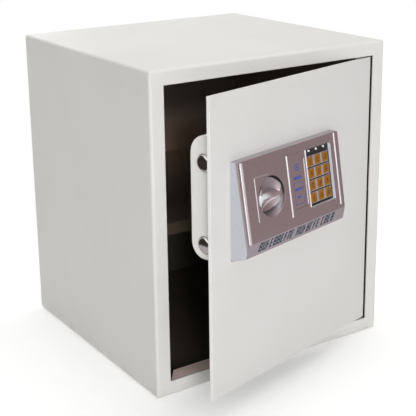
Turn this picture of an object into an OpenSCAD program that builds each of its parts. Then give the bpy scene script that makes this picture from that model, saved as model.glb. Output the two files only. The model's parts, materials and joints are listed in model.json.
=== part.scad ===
// Electronic home safe: a welded steel cabinet with a shelf, and a flush door that carries
// a moulded keypad and knob panel in front and the boltwork behind, standing ajar.
// Origin in the middle of the base, +X to the right seen from the front, +Y to the back, +Z up.

/* [Cabinet] */
// Outer width of the cabinet
cab_w = 350; // [330:1:450]
// Outer depth of the cabinet
cab_d = 330; // [260:1:450]
// Outer height of the cabinet
cab_h = 400; // [385:1:500]
// Thickness of the sheet that the cabinet is bent from
sheet = 2; // [1.5:0.1:3]
// Outside radius of the bent edges
edge_r = 3.5; // [2.5:0.1:5]
// Width of the front frame at the sides
frame_side = 18.5; // [17:0.5:26]
// Width of the front frame at top and bottom
frame_end = 18; // [15:0.5:26]
// Depth of the lips that turn in around the doorway
lip_d = 23; // [20:0.5:30]
// Depth of the lip on the lock side, which the bolts pass through
strike_lip_d = 34; // [32:0.5:38]
// Room around a bolt in its hole in that lip, on the radius
strike_gap = 1; // [0.6:0.1:2]
// Radius of the anchor holes in the base and the back
anchor_r = 5; // [3:0.5:7]
// Spacing of the base's anchor holes across the cabinet
anchor_w = 250; // [120:1:300]
// Spacing of the base's anchor holes from front to back
anchor_d = 100; // [80:1:200]
// Spacing of the two anchor holes in the back
back_anchor_w = 260; // [100:1:300]
// Height of the two anchor holes in the back above the base
back_anchor_z = 250; // [230:1:350]

/* [Shelf and mat] */
// Height of the shelf's top above the base
shelf_z = 201; // [120:1:300]
// Distance of the shelf's front edge behind the front of the cabinet
shelf_back = 44; // [43:1:90]
// Thickness of the shelf's sheet
shelf_t = 1.5; // [1:0.1:2.5]
// Height of the shelf's turned-down front and rear edges
shelf_edge = 15; // [8:0.5:20]
// Width and drop of the shelf brackets
bracket_leg = 20; // [12:1:30]
// Thickness of the floor mat
mat_t = 2.5; // [1:0.1:5]
// Gap between the mat and the walls
mat_gap = 2; // [1:0.5:8]

/* [Door] */
// Thickness of the door plate
door_t = 4; // [3:0.5:5]
// Gap beside the door at the lock side
gap_lock = 2; // [1.5:0.1:3]
// Gap beside the door at the hinge side
gap_hinge = 4; // [3.6:0.1:6]
// Gap above and below the door
gap_end = 2; // [1:0.1:3]
// Angle at which the door stands open
door_open = 14; // [0:1:90]
// Distance of the hinge axis from the door's hinge edge
hinge_in = 9; // [8:0.5:12]
// Thickness of the hinge stile behind the door plate
stile_t = 8; // [7:0.5:10]
// Width of the hinge stile
stile_w = 15; // [14:0.5:20]
// Radius of the hinge pins
hinge_pin_r = 3; // [2:0.25:3.25]
// Length of each hinge pin inside the stile
pin_hold = 24; // [10:1:40]
// Running clearance of pins, bolts and shafts, on the radius
run_gap = 0.05; // [0.02:0.01:0.09]
// Wall of the hinge bushes
bush_wall = 2; // [1:0.25:3]

/* [Boltwork housing] */
// Distance of the housing from the door's free edge
housing_u = 10; // [6:0.5:14]
// Height of the housing's bottom above the door's bottom edge
housing_up = 168; // [150:1:170]
// Width of the housing
housing_w = 218; // [216:1:240]
// Height of the housing
housing_h = 145; // [142:1:160]
// Depth of the housing behind the door plate
housing_d = 34; // [33:0.5:35]
// Radius of the housing's upper rear edge
housing_r_top = 23; // [10:0.5:24]
// Radius of the housing's lower rear edge
housing_r_low = 18; // [8:0.5:18]
// Thickness of the housing's sheet
housing_wall = 1.5; // [1:0.1:1.8]
// Width of the housing's screw flanges
flange_w = 12; // [10:0.5:16]
// Radius of the studs that hold the housing
stud_r = 2; // [1.5:0.25:2.5]

/* [Boltwork] */
// Radius of a locking bolt
bolt_r = 10; // [8:0.5:10]
// Length of a locking bolt
bolt_len = 40; // [38:0.5:42]
// How far a drawn bolt stands out of the housing
bolt_proud = 1.5; // [0.5:0.5:3]
// Depth of the bolt axes behind the door's front face
bolt_depth = 18; // [17:0.5:19]
// Height of the lower bolt above the housing's bottom
bolt_rise = 17; // [16:0.5:20]
// Distance between the two bolts
bolt_pitch = 96.5; // [94:0.5:100]
// Thickness of the carriage plate
plate_t = 3; // [2:0.5:4]
// Radius of the crank pin's circle
crank_r = 12.7; // [11:0.1:13]
// Radius of the crank pin
crank_pin_r = 3; // [2:0.25:3.5]
// Room beside the crank pin in its slot
slot_gap = 0.6; // [0.5:0.05:1]
// Turn of the knob between bolts drawn and bolts thrown
knob_turn = 90; // [80:1:100]
// Radius of the knob shaft
shaft_r = 4; // [3:0.25:5]
// Radius of the studs that guide the carriage
guide_r = 3; // [2:0.25:3.5]
// Stroke of the solenoid plunger
plunger_stroke = 3.5; // [2:0.25:4]
// Radius of the solenoid plunger
plunger_r = 3; // [2:0.25:3.5]

/* [Control panel] */
// Distance of the panel from the door's free edge
panel_u = 33; // [31:0.5:34]
// Height of the panel's bottom above the door's bottom edge
panel_up = 162; // [160:0.5:166]
// Width of the panel
panel_w = 190; // [186:0.5:196]
// Height of the panel
panel_h = 119; // [114:0.5:122]
// How far the panel's nose stands out from the door
nose_p = 24.8; // [24:0.1:30]
// Height of the nose above the panel's bottom
nose_z = 24.4; // [20:0.1:25]
// How far the lower edge of the strip under the nose stands out
chin_p = 22; // [18:0.1:24]
// Height of that lower edge above the panel's bottom
chin_z = 8.4; // [3:0.1:9]
// How far the panel's top edge stands out
brow_p = 9.9; // [9.5:0.1:11]
// Draft of the panel's sides, at the nose
side_draft = 1.4; // [0.5:0.1:2.5]
// Corner radius of the panel seen from the front
panel_r = 3; // [1:0.5:5]
// Wall of the panel
panel_wall = 2; // [1.5:0.1:2.4]
// Radius of the raised beads at the panel's edges and beside the knob
bead_r = 1.4; // [0.8:0.1:1.6]
// Radius of the thin beads around the knob well and the keyhole cover
thin_bead_r = 0.8; // [0.4:0.1:1]

/* [Knob] */
// Distance of the knob's axis from the panel's left edge
knob_u = 52.6; // [51:0.1:54]
// Height of the knob's axis above the panel's bottom
knob_z = 70.4; // [69:0.1:72]
// Radius of the knob's well in the panel's face
well_r = 23.5; // [22:0.1:24]
// Narrowing of the well down to its floor
well_draft = 1.7; // [0.5:0.1:2.2]
// Height of the well's floor above the door
well_floor = 5; // [4:0.5:7]
// Radius of the knob
knob_r = 20.3; // [18:0.1:20.6]
// How far the knob's grip bar stands out from the door
knob_p = 16.6; // [15:0.1:18]
// Depth of the knob's finger scoops
scoop_depth = 8.5; // [6:0.5:9]
// Radius of the scoops' floor
scoop_r = 23; // [20:0.5:30]
// Width of the grip bar's crest
grip_w = 3; // [2:0.1:6]
// Slope of the grip bar's sides, from the knob's axis
grip_slope = 36; // [10:1:42]

/* [Keypad] */
// Distance of the keypad window from the panel's left edge
window_u = 123; // [122:0.5:124]
// Height of the window's bottom above the nose, along the face
window_v = 14.6; // [14:0.1:18]
// Width of the window
window_w = 49.5; // [48:0.1:51]
// Height of the window
window_h = 70.5; // [68:0.5:72]
// Depth of the keypad plate below the panel's face
plate_depth = 4.3; // [2.8:0.1:4.5]
// Width of a key
key_w = 10.8; // [9:0.1:11]
// Height of a key
key_h = 11.4; // [9:0.1:11.6]
// Spacing of the keys across
key_pitch_u = 14.8; // [14.5:0.1:15.4]
// Spacing of the keys up the face
key_pitch_v = 14.8; // [14.5:0.1:15.3]
// Height of the lowest row of keys above the window's bottom
key_rise = 10; // [9.5:0.1:11]
// Depth of the keys' tops below the panel's face
key_depth = 2.6; // [1:0.1:2.9]
// Travel of a key
key_travel = 1.2; // [0.6:0.1:1.4]
// Room around a key
key_gap = 0.25; // [0.1:0.05:0.4]
// Width of the bright frame above and below a row of keys
key_frame = 0.6; // [0.4:0.1:0.9]

/* [Keyhole cover and key lock] */
// Distance of the cover's pocket from the panel's left edge
pocket_u = 90.2; // [89.5:0.1:91]
// Height of the pocket's bottom above the nose, along the face
pocket_v = 19.4; // [18:0.1:22]
// Width of the pocket
pocket_w = 25.8; // [25:0.1:26.5]
// Height of the pocket
pocket_h = 66.5; // [60:0.5:68]
// Depth of the pocket
pocket_d = 3; // [2:0.1:4]
// Distance of the key lock's axis below the middle of the pocket
lock_drop = 5; // [3:0.5:8]
// Radius of the key lock's barrel
barrel_r = 9.5; // [8:0.25:10]
// Radius of the key lock's plug
plug_r = 6; // [5:0.25:7]
// Length of the key lock's cam
cam_len = 24; // [18:0.5:24]

/* [Battery box] */
// Radius of a battery
cell_r = 7.25; // [6:0.05:7.25]
// Length of a battery without its tip
cell_len = 49.5; // [44:0.1:49.5]
// Spacing of the batteries
cell_pitch = 15; // [14.8:0.1:15.2]
// Wall of the battery box
box_wall = 1.5; // [1:0.1:1.8]
// Thickness of the battery cover
cover_t = 2; // [1.5:0.1:2.5]
// Travel of the reset button
reset_travel = 1.5; // [1:0.1:2]

/* [Hidden] */
$fn = 64;
eps = 0.01;

// Key names, row by row from the top
KEYS = ["key_1", "key_2", "key_3", "key_4", "key_5", "key_6",
        "key_7", "key_8", "key_9", "key_a", "key_0", "key_b"];

cream = "#dcdad4";
steel = "#b9bcbf";
zinc = "#c9c6b4";
silver = "#a69ca2";
black = "#1c1c1e";
gold = "#b9791c";

// Doorway and door
front_y = -cab_d / 2;
open_x = cab_w / 2 - frame_side;
open_low = frame_end;
open_high = cab_h - frame_end;
door_left = -open_x + gap_lock;
door_right = open_x - gap_hinge;
door_w = door_right - door_left;
door_bottom = open_low + gap_end;
door_h = open_high - gap_end - door_bottom;
hinge_depth = door_t + stile_t / 2;
hinge_x = door_right - hinge_in;
hinge_y = front_y + hinge_depth;
bush_r = hinge_pin_r + run_gap + bush_wall;
bush_flange = 3;
lip_gap = 0.3;
lip_slant = 0.75;
bush_rim_r = min(bush_r + 3, hinge_depth - sheet - 0.2);

// Boltwork, measured on the door from its lower free corner
bolt_z = housing_up + bolt_rise;
shaft_u = panel_u + knob_u;
shaft_z = panel_up + knob_z;
bolt_travel = 2 * crank_r * sin(knob_turn / 2);
bolt_tail = housing_u - bolt_proud + bolt_len;
slot_u = shaft_u + bolt_travel / 2;
carriage_u = bolt_tail - 4.5;
carriage_w = 34;
tongue = 9.5;
arm_low = shaft_z + crank_r * cos(knob_turn / 2) - crank_pin_r - slot_gap - 4;
arm_high = shaft_z + crank_r + crank_pin_r + slot_gap + 5;
plunger_u = shaft_u + 2.4;
notch_w = 2 * plunger_r + 1.2;
arm_end = plunger_u + bolt_travel + notch_w / 2 + 4.4;
guide_u = carriage_u + 6;
guide_zs = [shaft_z - 26.6, shaft_z + 19.4];
cam_y = door_t + 5;
cam_t = 3;
tip_gap = 0.3;

// Solenoid
coil_r = 9;
coil_len = 24;
fork_t = 2;
spring_room = 2 * plunger_stroke;
collar_t = 1.2;
collar_z = arm_high + tip_gap + 1.8;
sol_z = collar_z + collar_t + spring_room;
sol_w = 26;
sol_top = sol_z + 2 * fork_t + coil_len;
link_t = 2;
board_w = 42;
board_over = 12;

// Panel, keypad and key lock
face_tilt = atan((nose_p - brow_p) / (panel_h - nose_z));
face_len = norm([nose_p - brow_p, panel_h - nose_z]);
panel_side = [[0, 0], [-chin_p, chin_z], [-nose_p, nose_z], [-brow_p, panel_h], [0, panel_h]];
boss_in = 10;
boss_rows = [boss_in + 4, panel_h - boss_in - 2];
split_u = pocket_u - 4.4;
pocket_end = pocket_u + pocket_w + 1.4;
bead_low = 12.5;
boss_r = 4;
screw_r = 1.9;
rim_t = 1.6;
keypad_t = 1.5;
key_skirt = 0.8;
key_skirt_w = 0.7;
board_t = 1.4;
board_depth = plate_depth + keypad_t + 0.2 + key_skirt + key_travel + 0.2;
light_v = window_v + window_h - 3.2;
light_r = 1.5;
lock_u = pocket_u + pocket_w / 2;
lock_z = nose_z + (pocket_v + pocket_h / 2 - lock_drop) * cos(face_tilt);
lock_p = nose_p - (lock_z - nose_z) * tan(face_tilt);
barrel_p = lock_p - pocket_d / cos(face_tilt) - barrel_r * tan(face_tilt) - 0.3;
barrel_end = door_t + 12;
cam_w = 8;

// Battery box, seen from behind the door
cover_over = 3;
cover_gap = 0.2;
rail_t = 1.2;
box_w = cell_len + 1 + 5 + 0.5 + 1 + 2 * box_wall;
box_h = 4 * cell_pitch + 2 * box_wall;
box_d = 2 * cell_r + 1 + box_wall;
box_u = housing_u + housing_w - cover_over - cover_gap - rail_t - 1 - box_w;
box_up = housing_up + 37;
rear_y = door_t + housing_d;
reset_u = box_u - 18;
reset_z = box_up + box_h / 2;
reset_r = 3.2;

// Where the keypad's lead leaves its board
loom_u = panel_u + window_u + window_w / 2 + 10;
loom_v = window_v + 30;
loom_y = -nose_p + loom_v * sin(face_tilt) + (board_depth + board_t) * cos(face_tilt);
loom_z = panel_up + nose_z + loom_v * cos(face_tilt) - (board_depth + board_t) * sin(face_tilt);

// Puts the door's own frame, with its origin at the lower free corner, where the door stands
module on_door() {
    translate([hinge_x, hinge_y, 0])
        rotate([0, 0, door_open])
            translate([door_left - hinge_x, front_y - hinge_y, door_bottom])
                children();
}

module on_panel() {
    on_door()
        translate([panel_u, 0, panel_up])
            children();
}

// The panel's sloping face: X across, Z up the slope from the nose, -Y out of the face
module face_frame() {
    translate([0, -nose_p, nose_z])
        rotate([-face_tilt, 0, 0])
            children();
}

module rod_x(r, from, to) {
    translate([from, 0, 0])
        rotate([0, 90, 0])
            cylinder(r = r, h = to - from);
}

module rod_y(r, from, to) {
    translate([0, from, 0])
        rotate([-90, 0, 0])
            cylinder(r = r, h = to - from);
}

// A flat outline drawn in Y and Z, made thick along X
module slab_x(from, to) {
    translate([from, 0, 0])
        rotate([90, 0, 90])
            linear_extrude(to - from)
                children();
}

// A flat outline drawn in X and Z, made thick along Y
module slab_y(from, to) {
    translate([0, to, 0])
        rotate([90, 0, 0])
            linear_extrude(to - from)
                children();
}

module slab_z(from, to) {
    translate([0, 0, from])
        linear_extrude(to - from)
            children();
}

module block(low, high) {
    translate(low)
        cube(high - low);
}

module round_square(size, r) {
    translate([r, 0])
        square([size.x - 2 * r, size.y]);
    translate([0, r])
        square([size.x, size.y - 2 * r]);
    for (x = [r, size.x - r], y = [r, size.y - r])
        translate([x, y])
            circle(r);
}

// A slot with round ends between two points
module round_slot(from, to, r) {
    run = to - from;
    for (p = [from, to])
        translate(p)
            circle(r);
    translate(from)
        rotate(atan2(run.y, run.x))
            translate([0, -r])
                square([norm(run), 2 * r]);
}

// The line through two points, moved to its left by t, as a point and a direction
function moved_edge(a, b, t) =
    let (run = (b - a) / norm(b - a))
        [a + t * [-run.y, run.x], run];

function crossing(e, f) =
    let (across = e[1].x * f[1].y - e[1].y * f[1].x,
         gap = f[0] - e[0])
        e[0] + e[1] * (gap.x * f[1].y - gap.y * f[1].x) / across;

// A convex outline that runs clockwise, drawn in by t on every side
function drawn_in(points, t) =
    let (n = len(points))
        [for (i = [0:n - 1])
            crossing(moved_edge(points[(i + n - 1) % n], points[i], -t),
                     moved_edge(points[i], points[(i + 1) % n], -t))];

// A tube of n sides swept along a route, as one closed solid
module swept_tube(route, r, n) {
    last = len(route) - 1;
    rings = [for (i = [0:last])
        let (t = route[min(i + 1, last)] - route[max(i - 1, 0)],
             side = cross(t, [0.1, 0.2, 1]) / norm(cross(t, [0.1, 0.2, 1])),
             up = cross(side, t) / norm(t))
            for (k = [0:n - 1])
                route[i] + r * (cos(360 * k / n) * side + sin(360 * k / n) * up)];
    walls = [for (i = [0:last - 1], k = [0:n - 1])
        [i * n + k, i * n + (k + 1) % n, (i + 1) * n + (k + 1) % n, (i + 1) * n + k]];
    polyhedron(rings, concat([[for (k = [n - 1:-1:0]) k]], walls,
                             [[for (k = [0:n - 1]) last * n + k]]), 6);
}

// Block with rounded front edges and rounded edges along its depth
module cabinet_block() {
    intersection() {
        translate([-cab_w / 2, 0, 0])
            slab_y(front_y, -front_y)
                round_square([cab_w, cab_h], edge_r);
        translate([-cab_w / 2, front_y, 0])
            slab_z(0, cab_h)
                round_square([cab_w, cab_d + edge_r], edge_r);
        translate([0, front_y, 0])
            slab_x(-cab_w / 2, cab_w / 2)
                round_square([cab_d + edge_r, cab_h], edge_r);
    }
}

// Lip along a side of the doorway, behind the front frame, with its ends cut at a slant
module lip_outline(length, depth) {
    low = sheet + lip_gap;
    cut = low + lip_slant * (depth - sheet);
    polygon([[low, sheet], [length - low, sheet], [length - cut, depth], [cut, depth]]);
}

module base_anchors(r, from, to) {
    for (x = [-1, 1], y = [-1, 1])
        translate([x * anchor_w / 2, y * anchor_d / 2, from])
            cylinder(r = r, h = to - from);
}

module cabinet_shell() {
    color(cream)
        difference() {
            cabinet_block();
            block([-cab_w / 2 + sheet, front_y + sheet, sheet],
                  [cab_w / 2 - sheet, -front_y + 1, cab_h - sheet]);
            block([-open_x, front_y - 1, open_low], [open_x, front_y + sheet + 1, open_high]);
            base_anchors(anchor_r, -1, sheet + 1);
        }
}

// Four lips welded behind the front frame, holed for the bolts and the hinge bushes
module doorway_lips() {
    color(cream)
        difference() {
            union() {
                for (z = [open_low - sheet, open_high])
                    translate([-open_x, front_y, 0])
                        slab_z(z, z + sheet)
                            lip_outline(2 * open_x, lip_d);
                for (side = [[-open_x - sheet, strike_lip_d], [open_x, lip_d]])
                    translate([side[0], front_y, open_low])
                        rotate([0, -90, 0])
                            translate([0, 0, -sheet])
                                linear_extrude(sheet)
                                    lip_outline(open_high - open_low, side[1]);
            }
            for (z = [0, bolt_pitch])
                translate([0, front_y + bolt_depth, door_bottom + bolt_z + z])
                    rod_x(bolt_r + strike_gap, -open_x - sheet - 1, -open_x + 1);
            for (z = [open_low - sheet, open_high])
                translate([hinge_x, hinge_y, z - 1])
                    cylinder(r = bush_r, h = sheet + 2);
        }
}

module back_panel() {
    color(cream)
        difference() {
            block([-cab_w / 2 + sheet, -front_y - sheet, sheet],
                  [cab_w / 2 - sheet, -front_y, cab_h - sheet]);
            for (side = [-1, 1])
                translate([side * back_anchor_w / 2, 0, back_anchor_z])
                    rod_y(anchor_r, -front_y - sheet - 1, -front_y + 1);
        }
}

// Tray with its front and rear edges turned down
module shelf() {
    half = cab_w / 2 - sheet - 0.3;
    low = front_y + shelf_back;
    high = -front_y - sheet - 0.3;
    color("#4c443c")
        slab_x(-half, half)
            difference() {
                translate([low, shelf_z - shelf_edge])
                    square([high - low, shelf_edge]);
                translate([low + shelf_t, shelf_z - shelf_edge - 1])
                    square([high - low - 2 * shelf_t, shelf_edge - shelf_t + 1]);
            }
}

// Angle under each end of the shelf, on the side wall
module shelf_brackets() {
    top = shelf_z - shelf_t;
    wall = cab_w / 2 - sheet;
    color("#4c443c")
        for (side = [0, 1])
            mirror([side, 0, 0])
                slab_y(front_y + shelf_back + shelf_t + 3, -front_y - sheet - shelf_t - 3)
                    polygon([[wall, top], [wall - bracket_leg, top], [wall - bracket_leg, top - sheet],
                             [wall - sheet, top - sheet], [wall - sheet, top - bracket_leg],
                             [wall, top - bracket_leg]]);
}

module floor_mat() {
    half = cab_w / 2 - sheet - mat_gap;
    color("#2c2a29")
        difference() {
            block([-half, front_y + sheet + mat_gap, sheet],
                  [half, -front_y - sheet - mat_gap, sheet + mat_t]);
            base_anchors(anchor_r + 3, 0, sheet + mat_t + 1);
        }
}

// Flanged bush in each lip, which a hinge pin turns in
module hinge_bushes() {
    color(zinc)
        for (upper = [0, 1])
            translate([hinge_x, hinge_y, upper == 1 ? open_high : open_low])
                mirror([0, 0, 1 - upper])
                    difference() {
                        union() {
                            cylinder(r = bush_r, h = sheet);
                            translate([0, 0, sheet])
                                cylinder(r = bush_rim_r, h = bush_flange);
                        }
                        translate([0, 0, -1])
                            cylinder(r = hinge_pin_r + run_gap, h = sheet + bush_flange + 2);
                    }
}

// Ring that carries the door on the lower lip
module hinge_washer() {
    color(zinc)
        translate([hinge_x, hinge_y, open_low])
            difference() {
                cylinder(r = hinge_pin_r + 3, h = gap_end);
                translate([0, 0, -1])
                    cylinder(r = hinge_pin_r + run_gap, h = gap_end + 2);
            }
}

// Places of the four panel screws on the panel
module at_bosses() {
    for (u = [boss_in, panel_w - boss_in], z = boss_rows)
        translate([panel_u + u, 0, panel_up + z])
            children();
}

// Places of the four housing studs on the door
module at_studs() {
    for (u = [housing_u + 30, housing_u + housing_w - 30],
         z = [housing_up - flange_w / 2, housing_up + housing_h + flange_w / 2])
        translate([u, 0, z])
            children();
}

module door_plate() {
    color(cream)
        on_door()
            difference() {
                block([0, 0, 0], [door_w, door_t, door_h]);
                translate([shaft_u, 0, shaft_z])
                    rod_y(shaft_r + run_gap, -1, door_t + 1);
                translate([panel_u + lock_u, 0, panel_up + lock_z])
                    rod_y(barrel_r, -1, door_t + 1);
                translate([loom_u, 0, loom_z])
                    rod_y(4, -1, door_t + 1);
                at_bosses()
                    rod_y(screw_r + 0.3, -1, door_t + 1);
            }
}

// Studs welded to the door's back, which hold the housing
module housing_studs() {
    color(steel)
        on_door()
            at_studs()
                rod_y(stud_r, door_t, door_t + housing_wall + 6);
}

// Bar welded behind the door's hinge edge, bored at both ends for the pins
module hinge_stile() {
    low = door_w - hinge_in - stile_w / 2;
    color(cream)
        on_door()
            difference() {
                block([low, door_t, 0], [low + stile_w, door_t + stile_t, door_h]);
                for (z = [-1, door_h - pin_hold])
                    translate([door_w - hinge_in, hinge_depth, z])
                        cylinder(r = hinge_pin_r, h = pin_hold + 1);
            }
}

module hinge_pins() {
    out = gap_end + sheet + bush_flange + 0.5;
    color(steel)
        on_door()
            for (z = [-out, door_h - pin_hold])
                translate([door_w - hinge_in, hinge_depth, z])
                    cylinder(r = hinge_pin_r, h = pin_hold + out);
}

// Side view of the housing, drawn from the door's back and the housing's bottom
module housing_outline(depth, height, r_top, r_low, back) {
    intersection() {
        translate([-back, 0])
            square([depth + back, height]);
        union() {
            translate([-back, 0])
                square([depth - max(r_top, r_low) + back, height]);
            translate([-back, 0])
                square([depth - r_low + back, height / 2]);
            translate([-back, r_low])
                square([depth + back, height - r_low - r_top]);
            translate([depth - r_top, height - r_top])
                circle(r_top);
            translate([depth - r_low, r_low])
                circle(r_low);
        }
    }
}

// Pressed cover over the boltwork, with screw flanges and rails for the battery cover
module bolt_housing() {
    color(cream)
        on_door()
            difference() {
                union() {
                    translate([housing_u, door_t, housing_up])
                        difference() {
                            slab_x(0, housing_w)
                                housing_outline(housing_d, housing_h, housing_r_top, housing_r_low, 0);
                            translate([0, 0, housing_wall])
                                slab_x(housing_wall, housing_w - housing_wall)
                                    housing_outline(housing_d - housing_wall, housing_h - 2 * housing_wall,
                                                    housing_r_top - housing_wall,
                                                    housing_r_low - housing_wall, 1);
                        }
                    for (z = [housing_up - flange_w, housing_up + housing_h - eps])
                        translate([housing_u, 0, z])
                            slab_y(door_t, door_t + housing_wall)
                                round_square([housing_w, flange_w + eps], 2);
                    cover_rails();
                }
                for (z = [0, bolt_pitch])
                    translate([0, bolt_depth, bolt_z + z])
                        rod_x(bolt_r + 0.6, housing_u - 1, housing_u + housing_wall + 1);
                at_studs()
                    rod_y(stud_r, 0, door_t + housing_wall + 1);
                block([box_u + box_wall, rear_y - housing_wall - 1, box_up + box_wall],
                      [box_u + box_w - box_wall, rear_y + 1, box_up + box_h - box_wall]);
                translate([reset_u, 0, reset_z])
                    rod_y(reset_r + 0.2, rear_y - housing_wall - 1, rear_y + 1);
            }
}

// Hooked rails on the housing's back that hold the battery cover at both sides
module cover_rails() {
    side = cover_gap + cover_over + eps;
    lift = cover_t + 2 * cover_gap;
    for (m = [0, 1])
        translate([box_u + m * box_w, rear_y, box_up])
            mirror([m, 0, 0]) {
                block([-side - rail_t, -eps, 0], [-side, lift + rail_t, box_h]);
                block([-side - eps, lift, 0], [-side + 1.6, lift + rail_t, box_h]);
            }
}

module housing_nuts() {
    color(zinc)
        on_door()
            at_studs()
                difference() {
                    rotate([0, 30, 0])
                        translate([0, door_t + housing_wall, 0])
                            rotate([-90, 0, 0])
                                cylinder(r = stud_r * 2, h = 3.2, $fn = 6);
                    rod_y(stud_r, 0, door_t + housing_wall + 5);
                }
}

// Upright bracket bored for both bolts, on a foot behind the door plate
module bolt_guide() {
    u = housing_u + 12;
    reach = bolt_r + 3;
    color(zinc)
        on_door()
            difference() {
                union() {
                    slab_x(u, u + 2)
                        union() {
                            for (z = [0, bolt_pitch])
                                translate([bolt_depth, bolt_z + z])
                                    circle(reach);
                            translate([door_t, bolt_z])
                                square([bolt_depth - door_t + reach - 2, bolt_pitch]);
                            translate([door_t, bolt_z - reach])
                                square([bolt_depth - door_t, bolt_pitch + 2 * reach]);
                        }
                    block([u + 1, door_t, bolt_z + bolt_r + 3],
                          [u + 13, door_t + 2, bolt_z + bolt_pitch - bolt_r - 9]);
                }
                for (z = [0, bolt_pitch])
                    translate([0, bolt_depth, bolt_z + z])
                        rod_x(bolt_r + run_gap, u - 1, u + 3);
                slab_x(u - 1, u + 3)
                    translate([bolt_depth - 5, bolt_z + bolt_pitch / 2 - 20])
                        round_square([11, 40], 3);
            }
}

// Shouldered studs with heads, on which the carriage's slots run
module guide_studs() {
    color(steel)
        on_door()
            for (z = guide_zs)
                translate([guide_u, 0, z]) {
                    rod_y(guide_r + 2, door_t, bolt_depth - plate_t / 2 - 0.3);
                    rod_y(guide_r, door_t, bolt_depth + plate_t / 2 + 1);
                    rod_y(guide_r + 2, bolt_depth + plate_t / 2 + 0.3, bolt_depth + plate_t / 2 + 1.8);
                }
}

// Plate with a tongue for each bolt, guide slots, the crank's slot and the plunger's notch
module carriage_outline() {
    low = bolt_z - 9;
    high = bolt_z + bolt_pitch + 9;
    left = carriage_u;
    right = carriage_u + carriage_w;
    strip = carriage_u + 16;
    difference() {
        union() {
            polygon([[left, low], [strip, low], [right, low + 18], [right, arm_low], [arm_end, arm_low],
                     [arm_end, arm_high], [right, arm_high], [right, arm_high + 2.5],
                     [strip, arm_high + 2.5 + right - strip], [strip, high], [left, high]]);
            for (z = [0, bolt_pitch])
                translate([left - tongue, bolt_z + z - 7])
                    square([tongue + 1, 14]);
        }
        for (z = guide_zs)
            round_slot([guide_u, z], [guide_u + bolt_travel, z], guide_r + 0.3);
        round_slot([slot_u, shaft_z + crank_r * cos(knob_turn / 2)], [slot_u, shaft_z + crank_r],
                   crank_pin_r + slot_gap);
        translate([plunger_u + bolt_travel - notch_w / 2, arm_high - 5])
            square([notch_w, 6]);
        translate([left + 9, shaft_z - 4])
            circle(5);
        for (z = [0, bolt_pitch])
            translate([left - 3, bolt_z + z])
                circle(2.5);
    }
}

module bolt_carriage() {
    color(zinc)
        on_door()
            slab_y(bolt_depth - plate_t / 2, bolt_depth + plate_t / 2)
                carriage_outline();
}

// Round bolts, chamfered in front and slotted behind for the carriage's tongues
module locking_bolts() {
    nose = housing_u - bolt_proud;
    chamfer = 1.2;
    color(steel)
        on_door()
            for (z = [0, bolt_pitch])
                translate([0, bolt_depth, bolt_z + z])
                    difference() {
                        union() {
                            rod_x(bolt_r, nose + chamfer, bolt_tail);
                            translate([nose, 0, 0])
                                rotate([0, 90, 0])
                                    cylinder(r1 = bolt_r - chamfer, r2 = bolt_r, h = chamfer);
                        }
                        block([carriage_u - tongue, -plate_t / 2, -bolt_r - 1],
                              [bolt_tail + 1, plate_t / 2, bolt_r + 1]);
                        translate([carriage_u - 3, 0, 0])
                            rod_y(2.5, -bolt_r - 1, bolt_r + 1);
                    }
}

module carriage_rivets() {
    color(zinc)
        on_door()
            for (z = [0, bolt_pitch])
                translate([carriage_u - 3, bolt_depth, bolt_z + z])
                    rod_y(2.5, 0.3 - bolt_r, bolt_r - 0.3);
}

// Solid wedge of the panel, with a margin taken off all round
module panel_wedge(t) {
    side = drawn_in(panel_side, t);
    back = t > 0 ? 1 : 0;
    intersection() {
        slab_x(0, panel_w)
            polygon([for (p = side) [p.x > -t - 0.1 ? back : p.x, p.y]]);
        translate([t, 0, t])
            slab_y(-nose_p - 1, back)
                round_square([panel_w - 2 * t, panel_h - 2 * t], max(panel_r - t, 0.5));
        slab_z(0, panel_h)
            polygon([[t, back], [side_draft + t, -nose_p - eps],
                     [panel_w - side_draft - t, -nose_p - eps], [panel_w - t, back]]);
    }
}

// Raised bead with round ends on the panel's face
module bead(r, from, to) {
    run = to - from;
    translate([from.x, r / 3, from.y])
        rotate([0, atan2(run.x, run.y), 0]) {
            cylinder(r = r, h = norm(run));
            for (z = [0, norm(run)])
                translate([0, 0, z])
                    sphere(r = r, $fn = 32);
        }
}

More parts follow.
